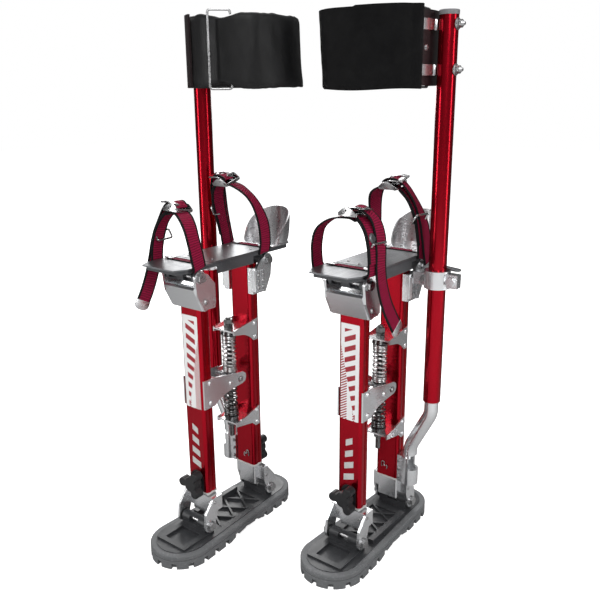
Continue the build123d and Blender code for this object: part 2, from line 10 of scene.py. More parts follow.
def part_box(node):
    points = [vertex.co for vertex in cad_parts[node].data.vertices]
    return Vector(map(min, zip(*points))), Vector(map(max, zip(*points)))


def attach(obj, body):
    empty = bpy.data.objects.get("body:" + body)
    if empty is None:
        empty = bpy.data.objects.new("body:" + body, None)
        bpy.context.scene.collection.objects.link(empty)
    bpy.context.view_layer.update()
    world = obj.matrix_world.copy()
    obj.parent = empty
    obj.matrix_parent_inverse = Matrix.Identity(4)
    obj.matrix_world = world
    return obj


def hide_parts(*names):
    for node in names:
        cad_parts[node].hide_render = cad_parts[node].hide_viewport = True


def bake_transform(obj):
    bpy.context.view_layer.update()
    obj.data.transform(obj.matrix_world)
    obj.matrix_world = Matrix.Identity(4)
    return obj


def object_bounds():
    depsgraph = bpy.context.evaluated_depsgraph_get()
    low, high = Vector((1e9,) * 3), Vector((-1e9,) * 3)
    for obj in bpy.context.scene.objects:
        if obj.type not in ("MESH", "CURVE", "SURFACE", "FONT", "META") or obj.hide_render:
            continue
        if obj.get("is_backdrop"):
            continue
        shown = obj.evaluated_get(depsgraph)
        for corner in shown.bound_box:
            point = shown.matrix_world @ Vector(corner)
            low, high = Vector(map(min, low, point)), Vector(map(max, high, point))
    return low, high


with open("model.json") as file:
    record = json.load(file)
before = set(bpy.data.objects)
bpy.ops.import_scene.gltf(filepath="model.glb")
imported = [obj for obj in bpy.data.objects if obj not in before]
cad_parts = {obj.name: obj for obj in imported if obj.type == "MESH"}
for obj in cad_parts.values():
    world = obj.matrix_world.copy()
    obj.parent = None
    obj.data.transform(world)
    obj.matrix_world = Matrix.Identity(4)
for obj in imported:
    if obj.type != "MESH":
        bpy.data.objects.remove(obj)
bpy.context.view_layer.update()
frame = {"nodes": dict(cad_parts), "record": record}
scene = bpy.context.scene
sides = ("left", "right")
mm = 0.001
print("frame loaded:", len(frame["nodes"]), "CAD pieces")

# A piece is drawn in its own stilt's frame, in mm: +X towards the pole, -Y towards the toe.
poleSpot = (70.8, 51.5)  # the pole's axis in that frame
mirrorOf = {"left": 1, "right": -1}
originOf = {}
for side in sides:
    low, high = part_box(side + "_pole")
    middle = [(low[i] + high[i]) / 2 for i in (0, 1)]
    originOf[side] = Vector((middle[0] - mirrorOf[side] * poleSpot[0] * mm, middle[1] - poleSpot[1] * mm, 0))


def toRow(side, point):
    return originOf[side] + Vector((mirrorOf[side] * point[0], point[1], point[2])) * mm


def fromRow(side, point):
    spot = (point - originOf[side]) / mm
    return Vector((spot.x * mirrorOf[side], spot.y, spot.z))


def toRowDirection(side, direction):
    return Vector((mirrorOf[side] * direction[0], direction[1], direction[2])).normalized()


def feed(tree, node, values):
    # a value is a plain one, a node (its first output) or a (node, output) pair
    for key, value in values.items():
        pair = (value, 0) if isinstance(value, bpy.types.Node) else value
        if isinstance(pair, tuple) and isinstance(pair[0], bpy.types.Node):
            tree.links.new(pair[0].outputs[pair[1]], node.inputs[key])
        else:
            node.inputs[key].default_value = value


def addNode(tree, kind, values=None, **props):
    node = tree.nodes.new(kind)
    for key, value in props.items():
        setattr(node, key, value)
    feed(tree, node, values or {})
    return node


def mathNode(tree, operation, *values, clamp=False):
    return addNode(tree, "ShaderNodeMath", dict(enumerate(values)), operation=operation, use_clamp=clamp)


def addNoise(tree, vector, scale, detail, rough=0.5, distortion=0.0):
    return addNode(tree, "ShaderNodeTexNoise", {
        "Vector": vector, "Scale": scale, "Detail": detail, "Roughness": rough, "Distortion": distortion})


def addRange(tree, value, fromLow, fromHigh, toLow=0.0, toHigh=1.0):
    return addNode(tree, "ShaderNodeMapRange", {
        "Value": value, "From Min": fromLow, "From Max": fromHigh, "To Min": toLow, "To Max": toHigh})


socketTypes = {float: "Float", int: "Int", tuple: "Vector"}


def newGroup(name, inputs, outputs, kind="Shader", outType="Float"):
    # an input without a value is of the type that it is named after
    group = bpy.data.node_groups.new(name, kind + "NodeTree")
    for label, value in inputs.items():
        socketType = "NodeSocket" + socketTypes.get(type(value), label)
        socket = group.interface.new_socket(label, in_out="INPUT", socket_type=socketType)
        if value is not None:
            socket.default_value = value
    for label in outputs:
        group.interface.new_socket(label, in_out="OUTPUT", socket_type="NodeSocket" + outType)
    return group, group.nodes.new("NodeGroupInput"), group.nodes.new("NodeGroupOutput")


def makeGrainGroup():
    # fine grain as a height, broad mottling as a mask
    group, source, target = newGroup(
        "surfaceGrain", {"Vector": None, "Grain Scale": 900.0, "Mottle Scale": 30.0}, ("Height", "Mottle"))
    for scale, out, detail in (("Grain Scale", "Height", 3.0), ("Mottle Scale", "Mottle", 4.0)):
        feed(group, target, {out: addNoise(group, (source, "Vector"), (source, scale), detail, 0.6)})
    return group


def makeBrushGroup():
    # drawn lines along one axis: the vector is squeezed before the noise
    group, source, target = newGroup(
        "brushedLines", {"Vector": None, "Stretch": (1.0, 1.0, 1.0), "Scale": 400.0}, ("Lines", "Patches"))
    squeezed = addNode(group, "ShaderNodeVectorMath", {0: (source, "Vector"), 1: (source, "Stretch")},
                       operation="MULTIPLY")
    feed(group, target, {"Lines": addNoise(group, squeezed, (source, "Scale"), 4.0, 0.7),
                         "Patches": addNoise(group, (source, "Vector"), 18.0, 3.0)})
    return group


def makeScuffGroup():
    # sparse scuffs and dust: two noises multiplied and cut off
    group, source, target = newGroup("scuffMask", {"Vector": None, "Scale": 60.0, "Cover": 0.3}, ("Mask",))
    coarse = addNoise(group, (source, "Vector"), (source, "Scale"), 6.0, 0.7, 0.6)
    fine = addNoise(group, (source, "Vector"), 420.0, 2.0)
    reach = addRange(group, mathNode(group, "MULTIPLY", coarse, fine), 0.28, 0.42)
    feed(group, target, {"Mask": mathNode(group, "MULTIPLY", reach, (source, "Cover"), clamp=True)})
    return group


def makeEdgeGroup():
    # rubbed edges: where the rounded normal leaves the true one, broken up by noise
    group, source, target = newGroup("edgeWear", {"Vector": None, "Radius": 0.0012, "Amount": 0.6}, ("Mask",))
    rounded = addNode(group, "ShaderNodeBevel", {"Radius": (source, "Radius")}, samples=4)
    flat = addNode(group, "ShaderNodeNewGeometry")
    angle = addNode(group, "ShaderNodeVectorMath", {0: rounded, 1: (flat, "Normal")}, operation="DOT_PRODUCT")
    gap = addRange(group, (angle, "Value"), 0.97, 0.8)
    broken = mathNode(group, "MULTIPLY", gap, addNoise(group, (source, "Vector"), 260.0, 4.0, 0.7))
    feed(group, target, {"Mask": mathNode(group, "MULTIPLY", broken, (source, "Amount"), clamp=True)})
    return group


def makeWeaveGroup():
    # threads over and under: two crossed waves, Across and Along in threads per metre
    group, source, target = newGroup(
        "threadWeave", {"Vector": None, "Across": 900.0, "Along": 900.0}, ("Height", "Tone"))
    parts = addNode(group, "ShaderNodeSeparateXYZ", {0: (source, "Vector")})
    waves = []
    for axis, rate in (("X", "Across"), ("Y", "Along")):
        turns = mathNode(group, "MULTIPLY", (parts, axis), (source, rate))
        waves.append(mathNode(group, "SINE", mathNode(group, "MULTIPLY", turns, tau)))
    crossed = mathNode(group, "MULTIPLY", *waves)
    feed(group, target, {"Height": mathNode(group, "MULTIPLY_ADD", crossed, 0.5, 0.5),
                         "Tone": addNoise(group, (source, "Vector"), 55.0, 4.0, 0.6)})
    return group


grainGroup = makeGrainGroup()
brushGroup = makeBrushGroup()
scuffGroup = makeScuffGroup()
edgeGroup = makeEdgeGroup()
weaveGroup = makeWeaveGroup()
print("shader groups built")

mixFirst, mixSecond, mixResult = 6, 7, 2  # the colour sockets of a Mix node


def startMaterial(name, color, roughness, sockets=None):
    material = bpy.data.materials.new(name)
    material.use_nodes = True
    material.diffuse_color = (*color, 1.0)
    tree = material.node_tree
    shader = tree.nodes["Principled BSDF"]
    feed(tree, shader, {"Base Color": (*color, 1.0), "Roughness": roughness, **(sockets or {})})
    return material, tree, shader


def placeGroup(tree, group, values, coordinate="Object"):
    place = addNode(tree, "ShaderNodeTexCoord")
    return addNode(tree, "ShaderNodeGroup", {**values, "Vector": (place, coordinate)}, node_tree=group)


def splitUv(tree):
    return addNode(tree, "ShaderNodeSeparateXYZ", {0: (addNode(tree, "ShaderNodeTexCoord"), "UV")})


def mixColor(tree, mask, first, second):
    # first and second are colours or (node, output) pairs
    first, second = ((*value, 1.0) if len(value) == 3 else value for value in (first, second))
    blend = addNode(tree, "ShaderNodeMix", {0: mask, mixFirst: first, mixSecond: second}, data_type="RGBA")
    return blend, mixResult


def finishSurface(tree, shader, color, gloss, rough, height, bump, depth):
    # colour, roughness spread over the middle of the gloss mask, and a bump
    bumped = addNode(tree, "ShaderNodeBump", {"Height": height, "Strength": bump, "Distance": depth})
    feed(tree, shader, {"Base Color": color, "Roughness": addRange(tree, gloss, 0.3, 0.7, *rough), "Normal": bumped})


plainMetal = {"metallic": 1.0, "stretch": (1.0, 1.0, 1.0), "scuffScale": 120.0, "coat": 0.0}


def metalMaterial(name, look):
    # drawn, cast or plated metal: brushed lines, patchy gloss, scuffs and rubbed edges
    look = {**plainMetal, **look}
    material, tree, shader = startMaterial(name, look["light"], look["rough"][0], {
        "Metallic": look["metallic"], "Coat Weight": look["coat"], "Coat Roughness": 0.1})
    brush = placeGroup(tree, brushGroup, {"Stretch": look["stretch"], "Scale": look["scale"]})
    scuff = placeGroup(tree, scuffGroup, {"Scale": look["scuffScale"], "Cover": look["scuff"]})
    color = mixColor(tree, (brush, "Patches"), look["dark"], look["light"])
    if "worn" in look:
        color = mixColor(tree, placeGroup(tree, edgeGroup, {"Amount": look["wear"]}), color, look["worn"])
    gloss = mathNode(tree, "ADD", (brush, "Lines"), (scuff, "Mask"))
    finishSurface(tree, shader, color, gloss, look["rough"], (brush, "Lines"), look["bump"], 0.0002)
    return material


def plasticMaterial(name, look):
    # moulded plastic or rubber: fine grain, mottled tone, dusty scuffs, paler edges
    material, tree, shader = startMaterial(name, look["light"], look["rough"][0], {"Specular IOR Level": 0.4})
    grain = placeGroup(tree, grainGroup, {"Grain Scale": look["grain"], "Mottle Scale": look["mottle"]})
    scuff = placeGroup(tree, scuffGroup, {"Scale": 45.0, "Cover": look["scuff"]})
    edge = placeGroup(tree, edgeGroup, {"Amount": look["wear"]})
    color = mixColor(tree, (grain, "Mottle"), look["dark"], look["light"])
    for mask in (scuff, edge):
        color = mixColor(tree, mask, color, look["dust"])
    finishSurface(tree, shader, color, (grain, "Mottle"), look["rough"], (grain, "Height"), look["bump"], 0.0003)
    return material


def grey(level):
    return (level, level, level)


metalLooks = {
    "red_anodised": {"dark": (0.34, 0.0, 0.008), "light": (0.46, 0.001, 0.014), "worn": (0.7, 0.3, 0.3),
                     "metallic": 0.92, "rough": (0.19, 0.24), "stretch": (1.0, 1.0, 0.02), "scale": 900.0,
                     "bump": 0.004, "scuffScale": 50.0, "scuff": 0.06, "coat": 0.12, "wear": 0.25},
    "silver_aluminium": {"dark": (0.74, 0.75, 0.77), "light": (0.88, 0.89, 0.9), "worn": grey(0.96),
                         "metallic": 0.96, "rough": (0.23, 0.27), "stretch": (1.0, 1.0, 0.1), "scale": 700.0,
                         "bump": 0.003, "scuffScale": 60.0, "scuff": 0.06, "wear": 0.5},
    "bolt_steel": {"dark": grey(0.3), "light": (0.62, 0.62, 0.63), "rough": (0.18, 0.4), "scale": 300.0,
                   "bump": 0.1, "scuff": 0.4},
    "spring_steel": {"dark": grey(0.5), "light": grey(0.72), "rough": (0.24, 0.34), "scale": 600.0,
                     "bump": 0.05, "scuff": 0.2},
    "darkSpring": {"dark": grey(0.1), "light": grey(0.2), "rough": (0.14, 0.34), "scale": 600.0,
                   "bump": 0.05, "scuff": 0.2},
    "pewter_plate": {"dark": (0.1, 0.104, 0.11), "light": (0.22, 0.225, 0.235), "worn": (0.4, 0.41, 0.42),
                     "metallic": 0.85, "rough": (0.28, 0.46), "stretch": (1.0, 0.03, 1.0), "scale": 500.0,
                     "bump": 0.08, "scuffScale": 40.0, "scuff": 0.5, "wear": 0.8},
    "cup_steel": {"dark": (0.62, 0.62, 0.63), "light": (0.8, 0.8, 0.81), "rough": (0.24, 0.34),
                  "stretch": (1.0, 0.05, 1.0), "scale": 500.0, "bump": 0.04, "scuffScale": 60.0, "scuff": 0.3},
    "buckle_chrome": {"dark": grey(0.3), "light": (0.58, 0.58, 0.59), "rough": (0.14, 0.26), "scale": 400.0,
                      "bump": 0.04, "scuffScale": 90.0, "scuff": 0.25},
}
plasticLooks = {
    "sole_rubber": {"dark": (0.11, 0.115, 0.12), "light": (0.19, 0.195, 0.2), "dust": (0.42, 0.42, 0.43),
                    "rough": (0.5, 0.75), "grain": 1400.0, "mottle": 24.0, "scuff": 0.3, "wear": 0.4,
                    "bump": 0.35},
    "sole_plastic": {"dark": (0.022, 0.023, 0.025), "light": (0.05, 0.052, 0.056), "dust": (0.14, 0.14, 0.15),
                     "rough": (0.26, 0.45), "grain": 1100.0, "mottle": 30.0, "scuff": 0.2, "wear": 0.4,
                     "bump": 0.2},
    "tray_plastic": {"dark": (0.045, 0.047, 0.052), "light": (0.09, 0.094, 0.1), "dust": (0.2, 0.2, 0.21),
                     "rough": (0.34, 0.55), "grain": 1100.0, "mottle": 30.0, "scuff": 0.25, "wear": 0.4,
                     "bump": 0.2},
    "knob_plastic": {"dark": (0.006, 0.006, 0.007), "light": (0.018, 0.018, 0.02), "dust": grey(0.08),
                     "rough": (0.35, 0.55), "grain": 1500.0, "mottle": 60.0, "scuff": 0.15, "wear": 0.25,
                     "bump": 0.25},
    "capPlastic": {"dark": (0.16, 0.16, 0.165), "light": (0.24, 0.24, 0.25), "dust": grey(0.4),
                   "rough": (0.4, 0.6), "grain": 1500.0, "mottle": 60.0, "scuff": 0.15, "wear": 0.25,
                   "bump": 0.2},
    "collarPlastic": {"dark": (0.5, 0.5, 0.49), "light": (0.68, 0.68, 0.66), "dust": grey(0.4),
                      "rough": (0.3, 0.5), "grain": 1200.0, "mottle": 60.0, "scuff": 0.2, "wear": 0.1,
                      "bump": 0.15},
    "shellPlastic": {"dark": (0.008, 0.004, 0.005), "light": (0.022, 0.012, 0.013), "dust": (0.1, 0.09, 0.09),
                     "rough": (0.25, 0.4), "grain": 1000.0, "mottle": 30.0, "scuff": 0.2, "wear": 0.2,
                     "bump": 0.1},
}

# the darker colour is painted shade, laid in the troughs between the ribs
webbingLook = {"body": (0.42, 0.005, 0.062), "paintedRibShade": (0.12, 0.001, 0.016), "border": (0.005, 0.005, 0.006),
               "borderShare": 0.36, "borderBlur": 0.03, "ribPitch": 0.0034, "threadsAcross": 24.0}


def webbingMaterial(look):
    # UV: U runs 0 to 1 across the strap, V is its length in metres
    material, tree, shader = startMaterial("strap_webbing", look["body"], 0.75, {"Specular IOR Level": 0.2})
    parts = splitUv(tree)
    calc = partial(mathNode, tree)
    fromMiddle = calc("ABSOLUTE", calc("SUBTRACT", (parts, "X"), 0.5))
    border = addRange(tree, fromMiddle, look["borderShare"], look["borderShare"] + look["borderBlur"])
    weave = placeGroup(
        tree, weaveGroup, {"Across": look["threadsAcross"], "Along": 0.5 / look["ribPitch"]}, coordinate="UV")
    rib = calc("SINE", calc("MULTIPLY", (parts, "Y"), tau / look["ribPitch"]))
    ribHeight = calc("MULTIPLY_ADD", rib, 0.5, 0.5)
    # the troughs between the ribs are painted darker: painted shade, broken up by a random tone
    tone = calc("MULTIPLY_ADD", calc("MULTIPLY", ribHeight, (weave, "Tone")), 1.3, 0.15)
    body = mixColor(tree, tone, look["paintedRibShade"], look["body"])
    finishSurface(tree, shader, mixColor(tree, border, body, look["border"]), (weave, "Tone"), (0.6, 0.85),
                  calc("ADD", ribHeight, (weave, "Height")), 0.8, 0.0007)
    return material


fabricLooks = {
    "cuff_nylon": {"dark": (0.003, 0.003, 0.0035), "light": (0.0085, 0.0085, 0.009), "rough": (0.36, 0.52),
                   "threads": 1400.0, "bump": 0.2, "depth": 0.0002, "sheen": 0.02, "specular": 0.26},
    "cuffFelt": {"dark": (0.0025, 0.0025, 0.003), "light": (0.013, 0.013, 0.0135), "rough": (0.9, 0.98),
                 "threads": 600.0, "bump": 0.9, "depth": 0.0008, "sheen": 0.03, "specular": 0.08},
}


def fabricMaterial(name, look):
    # plain woven or felted cloth on UV in metres
    material, tree, shader = startMaterial(name, look["light"], look["rough"][0], {
        "Sheen Weight": look["sheen"], "Specular IOR Level": look["specular"]})
    weave = placeGroup(tree, weaveGroup, {"Across": look["threads"], "Along": look["threads"]}, coordinate="UV")
    grain = placeGroup(tree, grainGroup, {"Grain Scale": 1300.0, "Mottle Scale": 40.0})
    color = mixColor(tree, (grain, "Mottle"), look["dark"], look["light"])
    height = mathNode(tree, "ADD", (weave, "Height"), (grain, "Height"))
    finishSurface(tree, shader, color, (weave, "Tone"), look["rough"], height, look["bump"], look["depth"])
    return material


labelLook = {"white": grey(0.9), "red": (0.36, 0.0, 0.012), "pitch": 0.027, "slant": 0.121, "diagonal": 0.78,
             "clear": 0.16, "boldPitch": 0.105, "boldSlant": -0.09, "boldHalf": 0.3, "boldTop": 0.95}


def labelMaterial(look):
    # UV 0 to 1 over the label: fine stripes at the sides below a diagonal, bold bars in the middle above it
    material, tree, shader = startMaterial("labelPrint", look["white"], 0.35, {"Coat Weight": 0.4})
    parts = splitUv(tree)
    across, up = (parts, "X"), (parts, "Y")
    calc = partial(mathNode, tree)
    fromMiddle = calc("ABSOLUTE", calc("SUBTRACT", across, 0.5))
    below = calc("LESS_THAN", calc("ADD", up, across), look["diagonal"])

    def stripes(height, pitch):
        return calc("GREATER_THAN", calc("FRACT", calc("DIVIDE", height, pitch)), 0.5)

    shown = []
    for height, pitch, keeps in (
        (calc("SUBTRACT", up, calc("MULTIPLY", across, look["slant"])), look["pitch"],
         (below, calc("GREATER_THAN", fromMiddle, look["clear"]))),
        (calc("MULTIPLY_ADD", across, look["boldSlant"], up), look["boldPitch"],
         (calc("LESS_THAN", fromMiddle, look["boldHalf"]), calc("LESS_THAN", up, look["boldTop"]),
          calc("SUBTRACT", 1.0, below))),
    ):
        band = stripes(height, pitch)
        for keep in keeps:
            band = calc("MULTIPLY", band, keep)
        shown.append(band)
    grain = placeGroup(tree, grainGroup, {"Grain Scale": 900.0, "Mottle Scale": 50.0})
    feed(tree, shader, {"Base Color": mixColor(tree, calc("MAXIMUM", *shown), look["white"], look["red"]),
                        "Roughness": addRange(tree, (grain, "Mottle"), 0.3, 0.7, 0.3, 0.42)})
    return material


materials = {"strap_webbing": webbingMaterial(webbingLook), "labelPrint": labelMaterial(labelLook)}
for maker, looks in ((metalMaterial, metalLooks), (plasticMaterial, plasticLooks), (fabricMaterial, fabricLooks)):
    materials.update({name: maker(name, look) for name, look in looks.items()})

slotOf = {part["node"]: part["material_slot"] for part in frame["record"]["subparts"]}
for nodeName, node in frame["nodes"].items():
    if not node.data.materials:
        node.data.materials.append(None)
    for holder in node.material_slots:
        holder.material = materials["darkSpring" if nodeName.endswith("spring_rod") else slotOf[nodeName]]
print("materials made and given to the CAD pieces")


def newPiece(name, bm, side, body, finish, replaces=(), smoothAngle=35):
    # bm is in the stilt's frame in mm; the finished mesh is in the row frame in metres
    for vert in bm.verts:
        vert.co = toRow(side, vert.co)
    if mirrorOf[side] < 0:
        bmesh.ops.reverse_faces(bm, faces=bm.faces)
    mesh = bpy.data.meshes.new(f"{side}_{name}")
    bm.to_mesh(mesh)
    bm.free()
    return placePiece(mesh, f"{side}_{name}", f"{side}_{body}" if body else None, finish,
                      [f"{side}_{node}" for node in replaces], smoothAngle)


def placePiece(mesh, name, body, finish, replaces=(), smoothAngle=35):
    piece = bpy.data.objects.new(name, mesh)
    scene.collection.objects.link(piece)
    mesh.materials.clear()
    mesh.materials.append(materials[finish])
    if smoothAngle:
        mesh.shade_smooth()
        mesh.set_sharp_from_angle(angle=radians(smoothAngle))
    if body:
        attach(piece, body)
    if replaces:
        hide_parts(*replaces)
    return piece


def addLoft(bm, rings, closedRing=True, caps=True):
    # rings of equal point counts, joined in order; the first and last are capped
    rows = [[bm.verts.new(point) for point in ring] for ring in rings]
    count = len(rows[0])
    for low, high in zip(rows, rows[1:]):
        for i in range(count if closedRing else count - 1):
            j = (i + 1) % count
            bm.faces.new((low[i], low[j], high[j], high[i]))
    if caps:
        bm.faces.new(rows[0][::-1])
        bm.faces.new(rows[-1])
    return rows


def joinEnds(bm, rows):
    # faces from the last row of a loft back to its first
    count = len(rows[0])
    for i in range(count):
        j = (i + 1) % count
        bm.faces.new((rows[-1][i], rows[-1][j], rows[0][j], rows[0][i]))


def addPlate(bm, outline, place, thick, bevel=0.0):
    # a flat plate: outline in the place matrix's XY, thick along its +Z
    rings = [[place @ Vector((x, y, z)) for x, y in outline] for z in (0, thick)]
    rows = addLoft(bm, rings)
    if bevel:
        edges = {e for row in rows for v in row for e in v.link_edges if e.other_vert(v) in row}
        bmesh.ops.bevel(bm, geom=list(edges), offset=bevel, segments=2, affect="EDGES", profile=0.5)


def addBox(bm, middle, size, bevel=0.4):
    half = [s / 2 for s in size]
    outline = [(x * half[0], y * half[1]) for x, y in ((-1, -1), (1, -1), (1, 1), (-1, 1))]
    addPlate(bm, outline, Matrix.Translation(Vector(middle) - Vector((0, 0, half[2]))), size[2], bevel)


def smoothPath(points, steps):
    # Catmull-Rom through the points
    points = [Vector(p) for p in points]
    padded = [points[0] * 2 - points[1], *points, points[-1] * 2 - points[-2]]
    path = []
    for a, b, c, d in zip(padded, padded[1:], padded[2:], padded[3:]):
        for i in range(steps):
            t = i / steps
            square, cube = (2 * a - 5 * b + 4 * c - d) * t**2, (3 * b - a - 3 * c + d) * t**3
            path.append(0.5 * (2 * b + (c - a) * t + square + cube))
    return path + [points[-1]]


def pathTangents(path, closed=False):
    count = len(path)
    tangents = []
    for i in range(count):
        before = path[(i - 1) % count] if closed or i else path[0]
        after = path[(i + 1) % count] if closed or i < count - 1 else path[-1]
        tangents.append((after - before).normalized())
    return tangents


def addRod(bm, path, radius, sides=10, closed=False):
    # round wire along a path, its frame carried from point to point
    path = [Vector(p) for p in path]
    tangents = pathTangents(path, closed)
    normal = tangents[0].orthogonal().normalized()
    rings = []
    for point, tangent in zip(path, tangents):
        normal = (normal - tangent * normal.dot(tangent)).normalized()
        side = tangent.cross(normal)
        turns = [tau * k / sides for k in range(sides)]
        rings.append([point + (normal * cos(a) + side * sin(a)) * radius for a in turns])
    if closed:
        rows = addLoft(bm, rings, caps=False)
        drift = min(range(sides), key=lambda k: (rows[0][k].co - rows[-1][0].co).length)
        for i in range(sides):
            a, b = rows[-1][i], rows[-1][(i + 1) % sides]
            bm.faces.new((a, b, rows[0][(i + 1 + drift) % sides], rows[0][(i + drift) % sides]))
    else:
        addLoft(bm, rings)


def roundCorner(before, here, after, reach, steps):
    start = here + (before - here).normalized() * reach
    end = here + (after - here).normalized() * reach
    turns = [k / steps for k in range(steps + 1)]
    return [start * (1 - t) ** 2 + here * 2 * t * (1 - t) + end * t**2 for t in turns]


def roundedLoop(corners, radius, steps=5):
    # a closed path through corners, each rounded
    path = []
    count = len(corners)
    for i in range(count):
        before, here, after = (Vector(corners[(i + k) % count]) for k in (-1, 0, 1))
        reach = min(radius, (before - here).length / 2, (after - here).length / 2)
        path += roundCorner(before, here, after, reach, steps)
    return path


def roundedOutline(width, depth, radius, steps=5):
    corners = [(x * width / 2, y * depth / 2, 0) for x, y in ((-1, -1), (1, -1), (1, 1), (-1, 1))]
    return [(p.x, p.y) for p in roundedLoop(corners, radius, steps)]


def addRing(bm, outerLine, innerLine, low, high):
    # a flat closed ring between two outlines of equal counts
    levels = ((outerLine, low), (outerLine, high), (innerLine, high), (innerLine, low))
    rows = addLoft(bm, [[Vector((x, y, z)) for x, y in line] for line, z in levels], caps=False)
    joinEnds(bm, rows)


def addArcPlate(bm, centre, inner, outer, start, end, low, high, steps=32):
    # a curved plate about the vertical through centre, between two angles in degrees
    rings = []
    for i in range(steps + 1):
        angle = radians(start + (end - start) * i / steps)
        way = Vector((cos(angle), sin(angle), 0))
        middle = Vector((*centre, 0))
        rings.append([middle + way * r + Vector((0, 0, z)) for r, z in
                      ((inner, low), (outer, low), (outer, high), (inner, high))])
    addLoft(bm, rings)


def frameAt(origin, along, up):
    # a matrix with +X along, +Z up
    x = Vector(along).normalized()
    z = Vector(up).normalized()
    return Matrix.Translation(Vector(origin)) @ Matrix((x, z.cross(x), z)).transposed().to_4x4()


def newTree(name, inputs):
    return newGroup(name, {"Geometry": None, **inputs, "Material": None}, ("Geometry",), "Geometry", "Geometry")


def endTree(tree, source, target, last):
    solid = addNode(tree, "GeometryNodeRealizeInstances", {0: last})
    coat = addNode(tree, "GeometryNodeSetMaterial", {"Geometry": solid, "Material": (source, "Material")})
    feed(tree, target, {0: coat})
    return tree


def makeHeadTree():
    # a fastener head on every point, turned to the point's "out" direction
    tree, source, target = newTree(
        "fastenerHeads", {"Radius": 0.004, "Height": 0.002, "Sides": 16, "Top Share": 0.6})
    radius, height = (source, "Radius"), (source, "Height")
    dome = addNode(tree, "GeometryNodeMeshCone", {
        "Vertices": (source, "Sides"), "Radius Top": mathNode(tree, "MULTIPLY", radius, (source, "Top Share")),
        "Radius Bottom": radius, "Depth": height}, fill_type="NGON")
    flange = addNode(tree, "GeometryNodeMeshCylinder", {
        "Vertices": 20, "Radius": mathNode(tree, "MULTIPLY", radius, 1.15),
        "Depth": mathNode(tree, "MULTIPLY", height, 0.4)}, fill_type="NGON")
    joined = addNode(tree, "GeometryNodeJoinGeometry")
    for shape in (dome, flange):
        feed(tree, joined, {0: shape})
    way = addNode(tree, "GeometryNodeInputNamedAttribute", {"Name": "out"}, data_type="FLOAT_VECTOR")
    turn = addNode(tree, "FunctionNodeAlignRotationToVector", {"Vector": (way, "Attribute")}, axis="Z")
    spread = addNode(tree, "GeometryNodeInstanceOnPoints", {
        "Points": (source, "Geometry"), "Instance": joined, "Rotation": turn})
    return endTree(tree, source, target, spread)


def makeCoilTree():
    # a compression spring along +Z from Place, its end turns wound closer
    tree, source, target = newTree("coilSpring", {
        "Turns": 13.0, "Coil Radius": 0.01, "Wire Radius": 0.0015, "Height": 0.06, "Closing": 0.55,
        "Place": (0.0, 0.0, 0.0)})
    radius, height = (source, "Coil Radius"), (source, "Height")
    spiral = addNode(tree, "GeometryNodeCurveSpiral", {
        "Resolution": 26, "Rotations": (source, "Turns"), "Start Radius": radius, "End Radius": radius,
        "Height": height})
    parts = addNode(tree, "ShaderNodeSeparateXYZ", {0: addNode(tree, "GeometryNodeInputPosition")})
    share = mathNode(tree, "DIVIDE", (parts, "Z"), height)
    wave = mathNode(tree, "SINE", mathNode(tree, "MULTIPLY", share, tau))
    scaled = mathNode(tree, "MULTIPLY", wave, mathNode(tree, "MULTIPLY", height, -1 / tau))
    offset = addNode(tree, "ShaderNodeCombineXYZ", {"Z": mathNode(tree, "MULTIPLY", scaled, (source, "Closing"))})
    close = addNode(tree, "GeometryNodeSetPosition", {"Geometry": spiral, "Offset": offset})
    profile = addNode(tree, "GeometryNodeCurvePrimitiveCircle", {
        "Resolution": 10, "Radius": (source, "Wire Radius")})
    tube = addNode(tree, "GeometryNodeCurveToMesh", {"Curve": close, "Profile Curve": profile, "Fill Caps": True})
    moved = addNode(tree, "GeometryNodeTransform", {"Geometry": tube, "Translation": (source, "Place")})
    return endTree(tree, source, target, moved)


def makeStitchTree():
    # short threads laid end to end along the object's edges
    tree, source, target = newTree("stitchLine", {"Pitch": 0.0035, "Thread": 0.00035, "Length": 0.0024})
    line = addNode(tree, "GeometryNodeMeshToCurve", {0: (source, "Geometry")})
    places = addNode(tree, "GeometryNodeCurveToPoints", {"Curve": line, "Length": (source, "Pitch")},
                     mode="LENGTH")
    thread = addNode(tree, "GeometryNodeMeshCylinder", {
        "Vertices": 6, "Radius": (source, "Thread"), "Depth": (source, "Length")}, fill_type="NGON")
    spread = addNode(tree, "GeometryNodeInstanceOnPoints", {
        "Points": places, "Instance": thread, "Rotation": (places, "Rotation")})
    return endTree(tree, source, target, spread)


headTree, coilTree, stitchTree = makeHeadTree(), makeCoilTree(), makeStitchTree()


def grow(name, tree, values, verts=(), edges=(), outs=()):
    # runs a tree on a small seed mesh and returns the plain mesh
    mesh = bpy.data.meshes.new(name + "Seed")
    mesh.from_pydata([tuple(v) for v in verts], list(edges), [])
    if outs:
        ways = mesh.attributes.new("out", "FLOAT_VECTOR", "POINT")
        ways.data.foreach_set("vector", [c for way in outs for c in way])
    seed = bpy.data.objects.new(name + "Seed", mesh)
    scene.collection.objects.link(seed)
    modifier = seed.modifiers.new("grow", "NODES")
    modifier.node_group = tree
    for item in tree.interface.items_tree:
        if item.in_out == "INPUT" and item.name in values:
            modifier[item.identifier] = values[item.name]
    bpy.context.view_layer.update()
    graph = bpy.context.evaluated_depsgraph_get()
    grown = bpy.data.meshes.new_from_object(seed.evaluated_get(graph), depsgraph=graph)
    grown.name = name
    bpy.data.objects.remove(seed)
    return grown


def headPiece(name, side, body, heads, size, finish="bolt_steel"):
    # heads are (point, out direction) in the stilt's frame; size is radius, height, sides and top share
    radius, height, count, share = size
    mesh = grow(
        f"{side}_{name}", headTree,
        {"Radius": radius * mm, "Height": height * mm, "Sides": count, "Top Share": share,
         "Material": materials[finish]},
        [toRow(side, point) for point, way in heads], outs=[toRowDirection(side, way) for point, way in heads],
    )
    return placePiece(mesh, f"{side}_{name}", f"{side}_{body}", finish)


